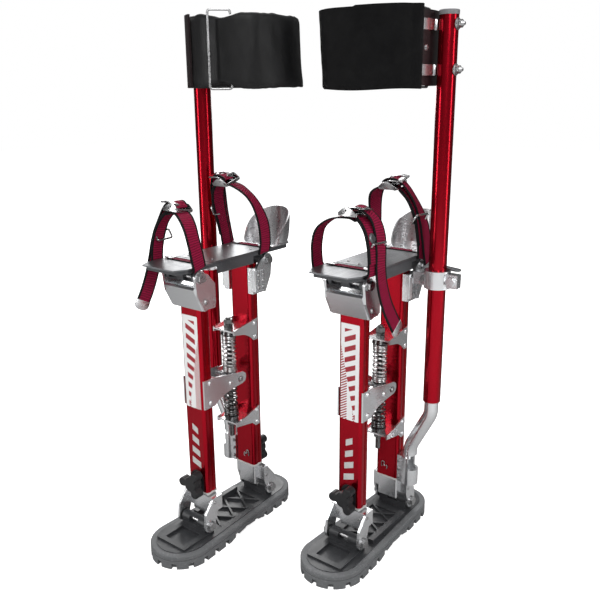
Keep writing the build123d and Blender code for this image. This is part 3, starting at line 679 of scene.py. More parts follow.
def stitchPiece(name, side, body, lines, look, finish):
    # lines are runs of points in the stilt's frame
    verts, edges = [], []
    for line in lines:
        first = len(verts)
        verts += [toRow(side, point) for point in line]
        edges += [(first + i, first + i + 1) for i in range(len(line) - 1)]
    mesh = grow(
        f"{side}_{name}", stitchTree,
        {"Pitch": look["pitch"] * mm, "Thread": look["thread"] * mm, "Length": look["length"] * mm,
         "Material": materials[finish]}, verts, edges,
    )
    return placePiece(mesh, f"{side}_{name}", f"{side}_{body}", finish)


print("geometry trees built")

coilLook = {
    "upper": {"turns": 12.0, "wire": 1.75, "finish": "spring_steel"},
    "lower": {"turns": 10.0, "wire": 1.6, "finish": "darkSpring"},
}
for side in sides:
    for level, look in coilLook.items():
        low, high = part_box(f"{side}_{level}_spring")
        radius = (high[0] - low[0]) / 2 - look["wire"] * mm
        place = ((low[0] + high[0]) / 2, (low[1] + high[1]) / 2, low[2] + look["wire"] * mm)
        height = high[2] - low[2] - 2 * look["wire"] * mm
        mesh = grow(
            f"{side}_{level}_coil", coilTree,
            {"Turns": look["turns"], "Coil Radius": radius, "Wire Radius": look["wire"] * mm,
             "Height": height, "Place": place, "Material": materials[look["finish"]]},
        )
        coil = placePiece(mesh, f"{side}_{level}_coil", None, look["finish"],
                          [f"{side}_{level}_spring"])
        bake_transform(coil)
print("springs wound")

rivetSize = (3.6, 1.8, 18, 0.6)
smallRivet = (2.4, 1.2, 14, 0.6)
boltSize = (5.6, 4.2, 6, 0.9)
acornSize = (4.6, 5.0, 12, 0.45)

fixings = {
    "rear_yoke_rivets": ("rear_upper", smallRivet,
                         [((s * 35.5, y, z), (s, 0, 0)) for s in (-1, 1) for y in (49, 60) for z in (397, 407, 417)]),
    "front_ear_bolts": ("front_upper", rivetSize, [((s * 34, -64, 400), (s, 0, 0)) for s in (-1, 1)]),
    "front_yoke_rivets": ("front_lower", smallRivet,
                          [((x, -66, 70), (0, -1, 0)) for x in (-20, 20)] +
                          [((s * 31, -62, 74), (s, 0, 0)) for s in (-1, 1)]),
    "rear_lower_rivets": ("rear_lower", smallRivet,
                          [((s * 31, 62, z), (s, 0, 0)) for s in (-1, 1) for z in (66, 76)]),
    "clamp_nuts": ("rear_upper", boltSize, [((53, 44, 425), (0, -1, 0)), ((95.8, 45, 427), (0, -1, 0))]),
    "hook_rivets": ("rear_upper", smallRivet, [((23.2, 41.5, z), (0.3, -1, 0)) for z in (94, 108, 122)]),
    "plate_screws": ("platform", smallRivet,
                     [((x, y, 457), (0, 0, 1)) for x in (-24, 24) for y in (-38, 46)] + [((0, -46, 457), (0, 0, 1))]),
    "heel_screws": ("heel", smallRivet, [((x, y, 457.3), (0, 0, 1)) for x, y in ((-15, 96), (9, 91), (0, 108))]),
}
for side in sides:
    for name, (body, size, heads) in fixings.items():
        headPiece(name, side, body, heads, size)
print("rivets and bolts set")

# leg trim: collars, knob seats, labels and hairpin clips
collarLook = {"outer": (41.0, 23.0, 5.5), "hole": (35.2, 17.2, 3), "low": 84.6, "high": 87.4}
seatLook = {"halfWidth": 13.0, "low": 88.5, "high": 122.0, "thick": 0.5}
labelSize = {"low": 228.0, "high": 375.0, "halfWidth": 15.5, "thick": 0.35}
badgeLook = {"low": 128.0, "bars": 4, "pitch": 19.0, "tall": 10.0, "halfWidth": 9.0, "slant": 6.0, "taper": 0.12}
pinLook = {"wire": 0.8, "high": 112.0, "share": 0.62,
           "bend": [(-9, -16), (-9.5, -4), (-5, 0), (-1, -4), (-3, -9), (1, -12), (5, -9), (7, -13), (5, -20)]}
faceOf = {"front": -66.0, "rear": 66.0}
centreOf = {"front": -55.0, "rear": 55.0}

for side in sides:
    for end, faceY in faceOf.items():
        way = -1 if end == "front" else 1
        bm = bmesh.new()
        addRing(bm, roundedOutline(*collarLook["outer"]), roundedOutline(*collarLook["hole"]),
                collarLook["low"], collarLook["high"])
        bmesh.ops.translate(bm, vec=(0, centreOf[end], 0), verts=bm.verts)
        newPiece(f"{end}_collar", bm, side, f"{end}_upper", "collarPlastic")
        bm = bmesh.new()
        half = seatLook["halfWidth"]
        arch = [(-half, seatLook["low"]), (half, seatLook["low"])]
        middle = seatLook["high"] - half
        arch += [(half * cos(radians(a)), middle + half * sin(radians(a))) for a in range(0, 181, 12)]
        place = Matrix(((-way, 0, 0, 0), (0, 0, way, faceY), (0, 1, 0, 0), (0, 0, 0, 1)))
        addPlate(bm, arch, place, seatLook["thick"])
        newPiece(f"{end}_knob_seat", bm, side, f"{end}_upper", "knob_plastic")
    bm = bmesh.new()
    uv = bm.loops.layers.uv.new("UVMap")
    half = labelSize["halfWidth"]
    tall = labelSize["high"] - labelSize["low"]
    outline = [(x, z + labelSize["low"] + tall / 2) for x, z in roundedOutline(2 * half, tall, 1.5)]
    place = Matrix(((1, 0, 0, 0), (0, 0, -1, faceOf["front"]), (0, 1, 0, 0), (0, 0, 0, 1)))
    addPlate(bm, outline, place, labelSize["thick"])
    for face in bm.faces:
        for loop in face.loops:
            x, z = loop.vert.co.x, loop.vert.co.z
            loop[uv].uv = ((x + half) / (2 * half), (z - labelSize["low"]) / tall)
    newPiece("leg_label", bm, side, "front_upper", "labelPrint")
    bm = bmesh.new()
    for i in range(badgeLook["bars"]):
        low = badgeLook["low"] + i * badgeLook["pitch"]
        half = badgeLook["halfWidth"] * (1 - badgeLook["taper"] * i)
        slant, tall = badgeLook["slant"], badgeLook["tall"]
        bar = [(-half, low), (half, low + slant), (half, low + slant + tall), (-half, low + tall)]
        addPlate(bm, bar, place, labelSize["thick"])
    newPiece("leg_bars", bm, side, "front_upper", "collarPlastic")
    bm = bmesh.new()
    share = pinLook["share"]
    shape = [(x * share - 3, 43.0, pinLook["high"] + z * share) for x, z in pinLook["bend"]]
    addRod(bm, smoothPath(shape, 6), pinLook["wire"], 8)
    newPiece("hairpin_clip", bm, side, "rear_upper", "bolt_steel")
print("leg trim fitted")

# the clamp lever behind the pole
leverLook = {"size": (46.0, 11.0, 5.4), "thick": 3.0, "middle": (82, 60, 441.0), "along": (1, -0.25, 0)}
for side in sides:
    bm = bmesh.new()
    place = frameAt(leverLook["middle"], leverLook["along"], (0, 0, 1))
    addPlate(bm, roundedOutline(*leverLook["size"]), place, leverLook["thick"], 0.5)
    newPiece("clamp_lever", bm, side, "rear_upper", "pewter_plate")

strapLook = {"width": 25.0, "thick": 2.0, "anchorWidth": 22.0, "seamHalf": 8.5, "seams": (9, 13)}
strapPaths = {
    "toe": {
        "main": [(-37.5, -82, 451.6), (-43.2, -83, 455), (-43.6, -86, 470), (-41, -89, 492), (-35, -89, 511),
                 (-22, -84, 523), (-8, -77, 526.8), (6, -72, 527.2), (16, -71, 524)],
        "anchor": [(37.5, -82, 451.6), (43.2, -82, 455), (43.4, -81, 470), (40.5, -79, 490),
                   (35, -76, 507), (27, -73.5, 519), (18, -71.5, 526.6)],
        "tail": {
            "left": [(-2, -71, 534), (8, -70, 540.5), (20, -66, 538.5), (33, -60, 525), (41, -60, 505),
                     (45.5, -64, 484), (47, -66, 462), (48, -63, 438), (50, -54, 410), (52, -42, 388), (53, -29, 369)],
            "right": [(-2, -71, 534), (8, -70, 540.5), (20, -68, 538.5), (33, -68, 525), (41, -72, 505),
                      (45.5, -77, 484), (47, -82, 462), (48, -89, 438), (50, -98, 414), (52, -108, 394)],
        },
    },
    "ankle": {
        "main": [(-37.5, 60, 451.6), (-39.2, 60, 455), (-39.6, 62, 470), (-38.5, 60, 495), (-36, 52, 518),
                 (-31, 43, 536), (-22, 34, 549.5), (-8, 29.6, 556.6), (6, 28.6, 557.6), (16, 29, 554)],
        "anchor": [(37.5, 60, 451.6), (39.2, 60, 455), (39.5, 57, 475), (38.5, 50, 500),
                   (35, 41, 524), (28, 34, 543), (18, 30, 555)],
        "tail": {
            side: [(-2, 27, 564.5), (8, 26, 570), (19, 28, 567.5), (31, 36, 551), (38, 46, 530), (42.5, 55, 508),
                   (44, 62, 486), (44.5, 68, 462), (45, 74, tip)] for side, tip in (("left", 440), ("right", 443))
        },
    },
}
strapCentre = {"toe": 478.0, "ankle": 490.0}  # the height of the foot's axis
strapSection = [(-1, -0.55), (-0.97, -1), (-0.5, -1), (0, -1), (0.5, -1), (0.97, -1), (1, -0.55),
                (1, 0.55), (0.97, 1), (0.5, 1), (0, 1), (-0.5, 1), (-0.97, 1), (-1, 0.55)]


def outward(point, tangent, arcZ):
    out = Vector((point.x, 0, max(point.z - arcZ, 0.01)))
    return (out - tangent * out.dot(tangent)).normalized()


def addWebbing(bm, points, width, thick, arcZ, lift=0.0):
    # a woven strap along a smooth path; it faces away from the foot's axis
    uv = bm.loops.layers.uv.verify()
    path = smoothPath(points, 6)
    tangents = pathTangents(path)
    half, deep = width / 2, thick / 2
    rings, lengths, run = [], [], 0.0
    for i, (point, tangent) in enumerate(zip(path, tangents)):
        run += (point - path[i - 1]).length * mm if i else 0
        lengths.append(run)
        out = outward(point, tangent, arcZ)
        across = tangent.cross(out).normalized()
        rings.append([point + across * x * half + out * (z * deep + lift) for x, z in strapSection])
    rows = addLoft(bm, rings)
    order = {v: (k, i) for i, row in enumerate(rows) for k, v in enumerate(row)}
    for face in {f for row in rows for v in row for f in v.link_faces}:
        for loop in face.loops:
            k, i = order[loop.vert]
            loop[uv].uv = ((strapSection[k][0] + 1) / 2, lengths[i])
    return path, tangents


tipLook = {"length": 9.0, "wide": 25.4, "thick": 3.2, "straight": 0.3, "nose": 0.55}
buttonSize = (6.2, 1.8, 24, 0.75)
stitchLook = {"pitch": 3.2, "thread": 0.35, "length": 2.2}
for side in sides:
    ends, buttons, seams = [], [], []
    bm = bmesh.new()
    for strap, paths in strapPaths.items():
        arcZ = strapCentre[strap]
        wide, anchorWidth, thick = strapLook["width"], strapLook["anchorWidth"], strapLook["thick"]
        addWebbing(bm, paths["main"], wide, thick, arcZ)
        path, tangents = addWebbing(bm, paths["anchor"], anchorWidth, thick, arcZ)
        addWebbing(bm, paths["anchor"][2:], anchorWidth, thick, arcZ, lift=2.1)
        spot = len(path) // 2 + 4
        middle, tangent = path[spot], tangents[spot]
        out = outward(middle, tangent, arcZ)
        across = tangent.cross(out) * strapLook["seamHalf"]
        buttons.append((middle + out * 3.0, out))
        for step in strapLook["seams"]:
            centre = middle - tangent * step + out * 3.1
            seams.append([centre - across, centre + across])
        path, tangents = addWebbing(bm, paths["tail"][side], wide, thick, arcZ)
        ends.append(frameAt(path[-1], tangents[-1], outward(path[-1], tangents[-1], arcZ)))
    newPiece("foot_webbing", bm, side, "platform", "strap_webbing", ["foot_straps"])
    headPiece("strap_buttons", side, "platform", buttons, buttonSize, "pewter_plate")
    stitchPiece("strap_stitches", side, "platform", seams, stitchLook, "knob_plastic")
    bm = bmesh.new()
    back, wide = -tipLook["length"] / 2, tipLook["wide"] / 2
    front, deep = tipLook["length"] * tipLook["straight"], wide * tipLook["nose"]
    arc = [(front + deep * sin(radians(a)), -wide * cos(radians(a))) for a in range(15, 170, 15)]
    nose = [(back, -wide), (front, -wide), *arc, (front, wide), (back, wide)]
    for place in ends:
        addPlate(bm, nose, place @ Matrix.Translation((0, 0, -tipLook["thick"] / 2)), tipLook["thick"], 0.8)
    newPiece("strap_tips", bm, side, "platform", "cup_steel")
print("straps laid")

# strips of strap across the foot plate, with their oval clips
stripLook = {"places": ((-68.0, 31.0), (71.0, 27.0)), "width": 13.0, "thick": 1.2, "z": 457.6, "arcZ": 400.0}
clipLook = {"outline": (17.0, 11.0, 5.4, 8), "thick": 1.6, "z": 458.1, "rivet": (2.0, 1.0, 12, 0.6)}
for side in sides:
    bm, clips, rivets = bmesh.new(), bmesh.new(), []
    for y, half in stripLook["places"]:
        line = [(x * half, y, stripLook["z"]) for x in (-1, -0.5, 0, 0.5, 1)]
        addWebbing(bm, line, stripLook["width"], stripLook["thick"], stripLook["arcZ"])
        for end in (-half, half):
            place = Matrix.Translation((end, y, clipLook["z"]))
            addPlate(clips, roundedOutline(*clipLook["outline"]), place, clipLook["thick"], 0.5)
            rivets += [((end + x, y, clipLook["z"] + 1.5), (0, 0, 1)) for x in (-4, 4)]
    newPiece("strap_strips", bm, side, "platform", "strap_webbing")
    newPiece("oval_clips", clips, side, "platform", "cup_steel")
    headPiece("clip_rivets", side, "platform", rivets, clipLook["rivet"])
print("strap clips riveted")

# cam buckles: frame and wire rings on the platform, each lever on its own body
buckleSeats = {
    "toe": {"pin": (4.0, -70.8, 535.3), "up": (0, 0.1386, 0.9903)},
    "ankle": {"pin": (4.0, 27.0, 565.3), "up": (0, -0.2873, 0.9578)},
}
buckleLook = {"pinHeight": 7.5, "half": 13.4, "cheek": 1.6, "wire": 1.5, "lever": 24.0}
keepers = (((41.5, -68.5, 490), (0.1, 1, 0), (1, 0, 0.3)), ((41, 47, 512), (0.1, 1, 0), (1, 0, 0.35)))
keeperCorners = [(-15, -4.5, -4), (15, -4.5, -4), (15, 4.5, 6), (-15, 4.5, 6)]


def addTeeth(bm, place, count, width, tall):
    for i in range(count):
        y = -width / 2 + width * (i + 0.5) / count
        half = width / count * 0.42
        base = [(-1.6, y - half), (1.6, y - half), (1.6, y + half), (-1.6, y + half)]
        rings = [[place @ Vector((x, yy, 0)) for x, yy in base],
                 [place @ Vector((x * 0.3, y + (yy - y) * 0.3, tall)) for x, yy in base]]
        addLoft(bm, rings)


for side in sides:
    bm = bmesh.new()
    for strap, seat in buckleSeats.items():
        pin = frameAt(seat["pin"], (1, 0, 0), seat["up"])
        drop, half, thick = -buckleLook["pinHeight"], buckleLook["half"], buckleLook["cheek"]
        cheek = [(-12, drop), (15, drop), (17, drop + 3), (9, 1.5), (4, 4.2), (-4, 4.2), (-9, 0), (-13, drop + 4)]
        for y in (-half, half + thick):
            wall = pin @ Matrix.Translation((0, y, 0)) @ Matrix.Rotation(pi / 2, 4, "X")
            addPlate(bm, cheek, wall, thick, 0.3)
        base = frameAt(pin @ Vector((1.5, 0, drop - 0.2)), (1, 0, 0), seat["up"])
        addPlate(bm, roundedOutline(27, 2 * half, 2), base, 1.3, 0.3)
        for x in (-11.5, 15.5):
            addRod(bm, [pin @ Vector((x, y, drop + 2.6)) for y in (-half - 1, 0, half + 1)], 1.9)
        addRod(bm, [pin @ Vector((0, y, 0)) for y in (-half - 1.6, 0, half + 1.6)], 1.6)
        addTeeth(bm, pin @ Matrix.Translation((-7, 0, drop + 1.2)), 7, 22, 2.6)
    newPiece("cam_buckles", bm, side, "platform", "buckle_chrome", ["buckle_frames"])
    bm = bmesh.new()
    for keeper in keepers:
        loop = [frameAt(*keeper) @ p for p in roundedLoop(keeperCorners, 3)]
        addRod(bm, loop, buckleLook["wire"], 8, closed=True)
    newPiece("strap_keepers", bm, side, "platform", "buckle_chrome")
    for strap, seat in buckleSeats.items():
        pin = frameAt(seat["pin"], (1, 0, 0), seat["up"])
        half = buckleLook["half"] - 1.2
        bm = bmesh.new()
        addRod(bm, [pin @ Vector((0, y, 0)) for y in (-half, 0, half)], 3.6, 14)
        length = buckleLook["lever"]
        grip = [(0, 2.4), (6, 4.6), (13, 4.6), (length - 3, 3.2), (length, 3.6), (length, 5.0),
                (13, 6.4), (6, 6.4), (-2, 4)]
        for y0, y1 in ((-half, -half + 6), (half - 6, half)):
            wall = pin @ Matrix.Translation((0, y1, 0)) @ Matrix.Rotation(pi / 2, 4, "X")
            addPlate(bm, grip, wall, y1 - y0, 0.3)
        tongue = frameAt(pin @ Vector((length - 3.5, 0, 3.3)), (1, 0, 0), seat["up"])
        addPlate(bm, roundedOutline(9, 2 * half, 2.5), tongue, 1.8, 0.4)
        addTeeth(bm, pin @ Matrix.Rotation(radians(-115), 4, "Y") @ Matrix.Translation((0, 0, 2.6)), 7, 20, 2.2)
        newPiece(f"{strap}_cam_lever", bm, side, f"{strap}_lever", "buckle_chrome",
                 [f"{strap}_lever"])
print("buckles built")

# heel cup: polished wall and brushed base
cupLook = {"centre": 112.0, "radius": 38.0, "wall": 2.2, "low": 455.4, "height": 54.0, "dome": 2.3, "flare": 4.5,
           "spread": 126, "columns": 80, "levels": (0, 0.2, 0.45, 0.75, 1)}
for side in sides:
    bm = bmesh.new()
    rings = []
    spread = cupLook["spread"]
    profile = [(0, share) for share in cupLook["levels"]] + [(1, share) for share in cupLook["levels"][::-1]]
    for i in range(cupLook["columns"] + 1):
        turn = -spread + 2 * spread * i / cupLook["columns"]
        way = Vector((sin(radians(turn)), cos(radians(turn)), 0))
        tall = max(cupLook["height"] * (1 - abs(turn / spread) ** cupLook["dome"]), 1.5)
        ring = []
        for inset, share in profile:
            radius = cupLook["radius"] - 0.3 - cupLook["flare"] * (1 - share) ** 3 * (tall / cupLook["height"])
            radius -= inset * cupLook["wall"]
            top = cupLook["low"] + 0.8 + share * (tall - 0.8)
            ring.append(Vector((0, cupLook["centre"], top)) + way * radius)
        rings.append(ring)
    addLoft(bm, rings)
    rims = [e for e in bm.edges if len(e.link_faces) == 2 and e.calc_face_angle(0) > 1.2]
    bmesh.ops.bevel(bm, geom=rims, offset=0.7, segments=2, affect="EDGES", profile=0.5)
    newPiece("heel_wall", bm, side, "heel", "cup_steel", ["heel_cup"], smoothAngle=50)
    bm = bmesh.new()
    arc = [(37.6 * cos(radians(a)), cupLook["centre"] + 37.6 * sin(radians(a))) for a in range(0, 181, 6)]
    outline = [(-37, 81), (37, 81), (38, 83), *arc, (-38, 83)]
    addPlate(bm, outline, Matrix.Translation((0, 0, cupLook["low"])), 1.9, 0.3)
    newPiece("heel_base", bm, side, "heel", "silver_aluminium")
print("heel cups formed")

# cuff hardware: shell, bands, bolts, cap and wire loop
cuffLook = {
    "centre": (-28.0, 40.0), "shell": (78.9, 81.8), "band": (81.8, 84.0), "shellSpan": (-66, 64),
    "shellHeights": (694.0, 789.0), "bands": (714.0, 771.0), "bandTall": 14.0, "bandSpan": (-17.5, 28),
    "padRadius": 78.5, "padThick": 11.0, "low": 690.0, "high": 793.0, "loopWire": 1.6,
}
capProfile = ((12.0, 782.5), (13.5, 782.8), (13.6, 784.2), (13.6, 788.0), (12.6, 789.0), (6.0, 789.0))
# the wire loop on each cuff: its angle and radius outside, and the angle where its ends go in
loopLook = {"left": (-20, 84.0, 6), "right": (-99, 86.0, -118), "sink": 2.2, "hook": 6, "bend": 4}


def cuffPoint(radius, angle, z):
    x, y = cuffLook["centre"]
    return Vector((x + radius * cos(radians(angle)), y + radius * sin(radians(angle)), z))


for side in sides:
    centre = cuffLook["centre"]
    bm = bmesh.new()
    addArcPlate(bm, centre, *cuffLook["shell"], *cuffLook["shellSpan"], *cuffLook["shellHeights"], steps=48)
    newPiece("cuff_shell", bm, side, "calf", "shellPlastic", ["cuff_frame"])
    bm = bmesh.new()
    for z in cuffLook["bands"]:
        half = cuffLook["bandTall"] / 2
        addArcPlate(bm, centre, *cuffLook["band"], *cuffLook["bandSpan"], z - half, z + half, steps=20)
        addBox(bm, (poleSpot[0] - 15.4, poleSpot[1], z), (4.4, 14, 14))
    newPiece("cuff_bands", bm, side, "calf", "silver_aluminium")
    heads = [((poleSpot[0] + 13, poleSpot[1], z), (1, 0, 0)) for z in cuffLook["bands"]]
    headPiece("cuff_washers", side, "calf", heads, (7.0, 1.2, 24, 0.95))
    headPiece("cuff_nuts", side, "calf", [((x + 1.2, y, z), way) for (x, y, z), way in heads], boltSize)
    headPiece("cuff_acorns", side, "calf", [((x + 5.2, y, z), way) for (x, y, z), way in heads], acornSize)
    dots = [(cuffPoint(81.8, a, z), (cos(radians(a)), sin(radians(a)), 0)) for a, z in ((-10, 742), (40, 742))]
    headPiece("shell_screws", side, "calf", dots, (3.4, 2.4, 16, 0.6))
    bm = bmesh.new()
    circle = [Vector((cos(tau * k / 32), sin(tau * k / 32), 0)) for k in range(32)]
    addLoft(bm, [[Vector((*poleSpot, z)) + way * radius for way in circle] for radius, z in capProfile])
    newPiece("pole_cap", bm, side, "calf", "capPlastic")
    angle, radius, anchor = loopLook[side]
    inner = cuffLook["padRadius"] - cuffLook["padThick"] / 2
    top, bottom, hook = cuffLook["high"] - loopLook["sink"], cuffLook["low"] + loopLook["sink"], loopLook["hook"]
    corners = [cuffPoint(*spot) for spot in (
        (inner, anchor, top - hook), (inner, anchor, top), (radius, angle, top),
        (radius, angle, bottom), (inner, anchor, bottom), (inner, anchor, bottom + hook))]
    path = [corners[0]]
    for before, here, after in zip(corners, corners[1:], corners[2:]):
        path += roundCorner(before, here, after, loopLook["bend"], 4)
    path.append(corners[-1])
    bm = bmesh.new()
    addRod(bm, path, cuffLook["loopWire"], 12)
    newPiece("cuff_loop", bm, side, "calf", "bolt_steel")
print("cuff hardware fitted")

# cuff pads: a padded ring, puffed by a short cloth run, then hems and soft folds
padLook = {
    "inner": 69.5, "outer": 78.0, "middle": 0.073, "low": 692.8, "high": 789.6, "segments": 72, "rows": 9,
    "voxel": 0.005, "pressure": 4.0, "frames": 20, "cap": 0.004, "hemInset": 6.5, "hemDepth": 0.0012,
    "wrinkle": 0.0013, "wobble": 0.0014, "notch": 0.0062, "notchHalf": 24,
    "inward": 0.0052, "inwardHalf": 42, "flare": {"left": (-148, -0.005), "right": (142, 0.0065)},
    "droop": {"left": (-58, 0.0005), "right": (-132, 0.0026)},
}
hemLook = {"pitch": 3.4, "thread": 0.3, "length": 2.3}
cuffMiddle = (cuffLook["low"] + cuffLook["high"]) / 2


def padSeed(look):
    bm = bmesh.new()
    heights = [look["low"] + (look["high"] - look["low"]) * i / look["rows"] for i in range(look["rows"] + 1)]
    profile = [(look["outer"], z) for z in heights] + [(look["inner"], z) for z in heights[::-1]]
    turns = [360 * k / look["segments"] for k in range(look["segments"])]
    joinEnds(bm, addLoft(bm, [[cuffPoint(radius, a, z) for radius, z in profile] for a in turns], caps=False))
    bmesh.ops.recalc_face_normals(bm, faces=bm.faces)
    return bm


def evaluatedMesh(piece):
    bpy.context.view_layer.update()
    graph = bpy.context.evaluated_depsgraph_get()
    return bpy.data.meshes.new_from_object(piece.evaluated_get(graph), depsgraph=graph)


def applyModifiers(piece):
    mesh = evaluatedMesh(piece)
    piece.modifiers.clear()
    piece.data = mesh


def puff(piece, look):
    grid = piece.modifiers.new("grid", "REMESH")
    grid.mode = "VOXEL"
    grid.voxel_size = look["voxel"]
    applyModifiers(piece)
    rest = [v.co.copy() for v in piece.data.vertices]
    cloth = piece.modifiers.new("puff", "CLOTH")
    cloth.settings.use_pressure = True
    cloth.settings.uniform_pressure_force = look["pressure"]
    cloth.settings.effector_weights.gravity = 0
    cloth.settings.quality = 6
    cloth.collision_settings.use_collision = False
    scene.frame_start, scene.frame_end = 1, look["frames"]
    for step in range(1, look["frames"] + 1):
        scene.frame_set(step)
    moved = [v.co.copy() for v in evaluatedMesh(piece).vertices]
    piece.modifiers.clear()
    scene.frame_set(1)
    for vert, home, there in zip(piece.data.vertices, rest, moved):
        shift = there - home
        if shift.length > look["cap"]:
            shift *= look["cap"] / shift.length
        vert.co = home + shift


def cuffAngle(side, way):
    # the angle about the cuff in the stilt's own frame, from a direction in the row
    return degrees(atan2(way.y, way.x * mirrorOf[side]))


def finishPad(piece, side):
    centre = toRow(side, (*cuffLook["centre"], 0))
    for vert in piece.data.vertices:
        flat = Vector((vert.co.x - centre.x, vert.co.y - centre.y, 0))
        radius = flat.length
        way = flat / radius
        z = vert.co.z / mm
        edge = min(abs(z - cuffLook["low"] - padLook["hemInset"]), abs(z - cuffLook["high"] + padLook["hemInset"]))
        pinch = padLook["hemDepth"] * exp(-((edge / 2.2) ** 2))
        sideWay = 1 if radius > padLook["middle"] else -1
        spot = Vector((way.x * 2.2, way.y * 2.2, z * 0.012))
        fold = noise.fractal(spot, 0.9, 2.0, 3) * padLook["wrinkle"]
        angle = cuffAngle(side, way)
        spot, reach = padLook["flare"][side]
        down = max(0, (cuffLook["high"] - z) / (cuffLook["high"] - cuffLook["low"]))
        low = down ** (2.5 if reach > 0 else 1.2)
        flare = reach * low * max(0, cos(radians(angle - spot))) ** 3
        apart = (180 - abs(angle)) / padLook["inwardHalf"]
        inward = padLook["inward"] * (1 - apart**2) ** 2 if apart < 1 else 0  # clear of the other cuff
        vert.co += way * (fold + flare - inward - sideWay * pinch)
        vert.co.z += noise.noise(Vector((way.x * 3, way.y * 3, 0.3))) * padLook["wobble"]
        near = abs(angle - sum(loopLook[side][::2]) / 2) / padLook["notchHalf"]
        rim = abs(vert.co.z / mm - cuffMiddle) / 48
        if near < 1 and rim > 0.8:  # the loop's bars press the rims in
            press = padLook["notch"] * (1 - near**2) ** 2 * min(1, (rim - 0.8) / 0.12)
            vert.co.z -= press * (1 if vert.co.z / mm > cuffMiddle else -1)
        spot, reach = padLook["droop"][side]
        vert.co.z -= reach * max(0, cos(radians(angle - spot))) ** 2 * max(0, (760 - z) / 70) ** 2
    smooth = piece.modifiers.new("smooth", "SUBSURF")
    smooth.levels = smooth.render_levels = 1
    applyModifiers(piece)
    wrapUv(piece.data, centre)


def wrapUv(mesh, centre):
    # cloth UV in metres: round the cuff, and up
    layer = mesh.uv_layers.new(name="UVMap")
    for face in mesh.polygons:
        middle = face.center
        seam = Vector((middle.x - centre.x, middle.y - centre.y))
        base = seam.angle_signed(Vector((1, 0)))
        for index in face.loop_indices:
            co = mesh.vertices[mesh.loops[index].vertex_index].co
            spoke = Vector((co.x - centre.x, co.y - centre.y))
            turn = base - seam.angle_signed(spoke)
            layer.data[index].uv = (turn * padLook["outer"] * mm, co.z + (spoke.length - padLook["middle"]) * 0.4)


def onSurface(piece, side, point, lift):
    # the nearest point on a finished piece, given and returned in the stilt's frame
    spot, normal = piece.closest_point_on_mesh(toRow(side, point))[1:3]
    return fromRow(side, spot + normal * lift * mm)


for side in sides:
    pad = newPiece("calf_pad", padSeed(padLook), side, None, "cuff_nylon")
    puff(pad, padLook)
    finishPad(pad, side)
    pad.data.materials.clear()
    pad.data.materials.append(materials["cuff_nylon"])
    pad.data.shade_smooth()
    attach(pad, side + "_calf")
    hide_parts(side + "_cuff_pad")
    bpy.context.view_layer.update()
    rim = []
    for z in (cuffLook["low"] + padLook["hemInset"], cuffLook["high"] - padLook["hemInset"]):
        rim.append([onSurface(pad, side, cuffPoint(80.0, a, z), 0.1) for a in range(0, 361, 4)])
    stitchPiece("pad_stitches", side, "calf", rim, hemLook, "cuff_nylon")
print("cuff pads puffed")

# felt flap folded back over the left cuff
flapLook = {"start": -150.0, "end": -20.0, "radius": 82.2, "thick": 2.4, "low": 689.5, "high": 792.8,
            "columns": 64, "rows": 22, "wrap": (84.0, 3.1), "turns": (20, 50, 80, 110, 140), "pull": 5.0,
            "tall": 0.1035, "hem": 0.0075}


def makeFlap(look):
    bm = bmesh.new()
    uv = bm.loops.layers.uv.new("UVMap")
    grid = []
    total = look["columns"] + len(look["turns"])
    for i in range(total + 1):
        share = min(i / look["columns"], 1.0)
        angle = look["start"] + (look["end"] - look["start"]) * share
        column = []
        for j in range(look["rows"] + 1):
            up = j / look["rows"]
            low = look["low"] + 7.0 * max(0, 0.16 - share) / 0.16 + 1.0 * sin(share * 9)
            high = look["high"] + 0.8 * sin(share * 7 + 1) + 1.4 * (share > 0.52)
            z = low + (high - low) * up
            spot = Vector((share * 6, up * 2.2, 0.7))
            radius = look["radius"] + 0.9 * noise.fractal(spot, 0.9, 2.0, 3) + 0.6 * abs(2 * up - 1) ** 3
            radius -= look["pull"] * (1 - up) ** 1.2 * max(0, cos(radians(angle + 148))) ** 3
            lift = max(0, (share - 0.93) / 0.07)
            crown = look["wrap"][0] + look["wrap"][1]
            radius += (crown - radius) * lift * lift * (3 - 2 * lift)
            point = cuffPoint(radius, angle, z)
            if i > look["columns"]:
                turn = radians(look["turns"][i - look["columns"] - 1])
                way = cuffPoint(1, angle, 0) - cuffPoint(0, angle, 0)
                along = Vector((-way.y, way.x, 0))
                curl = (way * cos(turn) + along * sin(turn)) * look["wrap"][1]
                point = cuffPoint(look["wrap"][0], angle, z) + curl
            column.append(bm.verts.new(point))
        grid.append(column)
    length = radians(look["end"] - look["start"]) * look["radius"] * mm + look["hem"]
    for i in range(total):
        for j in range(look["rows"]):
            corners = ((i, j), (i + 1, j), (i + 1, j + 1), (i, j + 1))
            face = bm.faces.new([grid[a][b] for a, b in corners])
            for loop, (a, b) in zip(face.loops, corners):
                loop[uv].uv = (a / total * length, b / look["rows"] * look["tall"])
    flap = newPiece("cuff_flap", bm, "left", None, "cuffFelt")
    wall = flap.modifiers.new("wall", "SOLIDIFY")
    wall.thickness = look["thick"] * mm
    wall.offset = 0
    soft = flap.modifiers.new("round", "BEVEL")
    soft.width = 0.0006
    soft.segments = 2
    applyModifiers(flap)
    flap.data.shade_smooth()
    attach(flap, "left_calf")


makeFlap(flapLook)
print("flap folded")

scene.view_settings.view_transform = "Standard"
stageLook = {"floor": 8.0, "floorColor": grey(0.85), "seen": 1.0, "cast": 0.42, "lift": 0.85,
             "front": (0.62, -0.78, 0.0), "floorTone": (-0.45, 0.8, 0.14, 0.9), "skyTone": (0.0, 0.95, 0.2, 1.1)}


def facing(tree, coordinate, front):
    place = addNode(tree, "ShaderNodeTexCoord")
    dot = addNode(tree, "ShaderNodeVectorMath", {0: (place, coordinate), 1: front}, operation="DOT_PRODUCT")
    return dot, "Value"


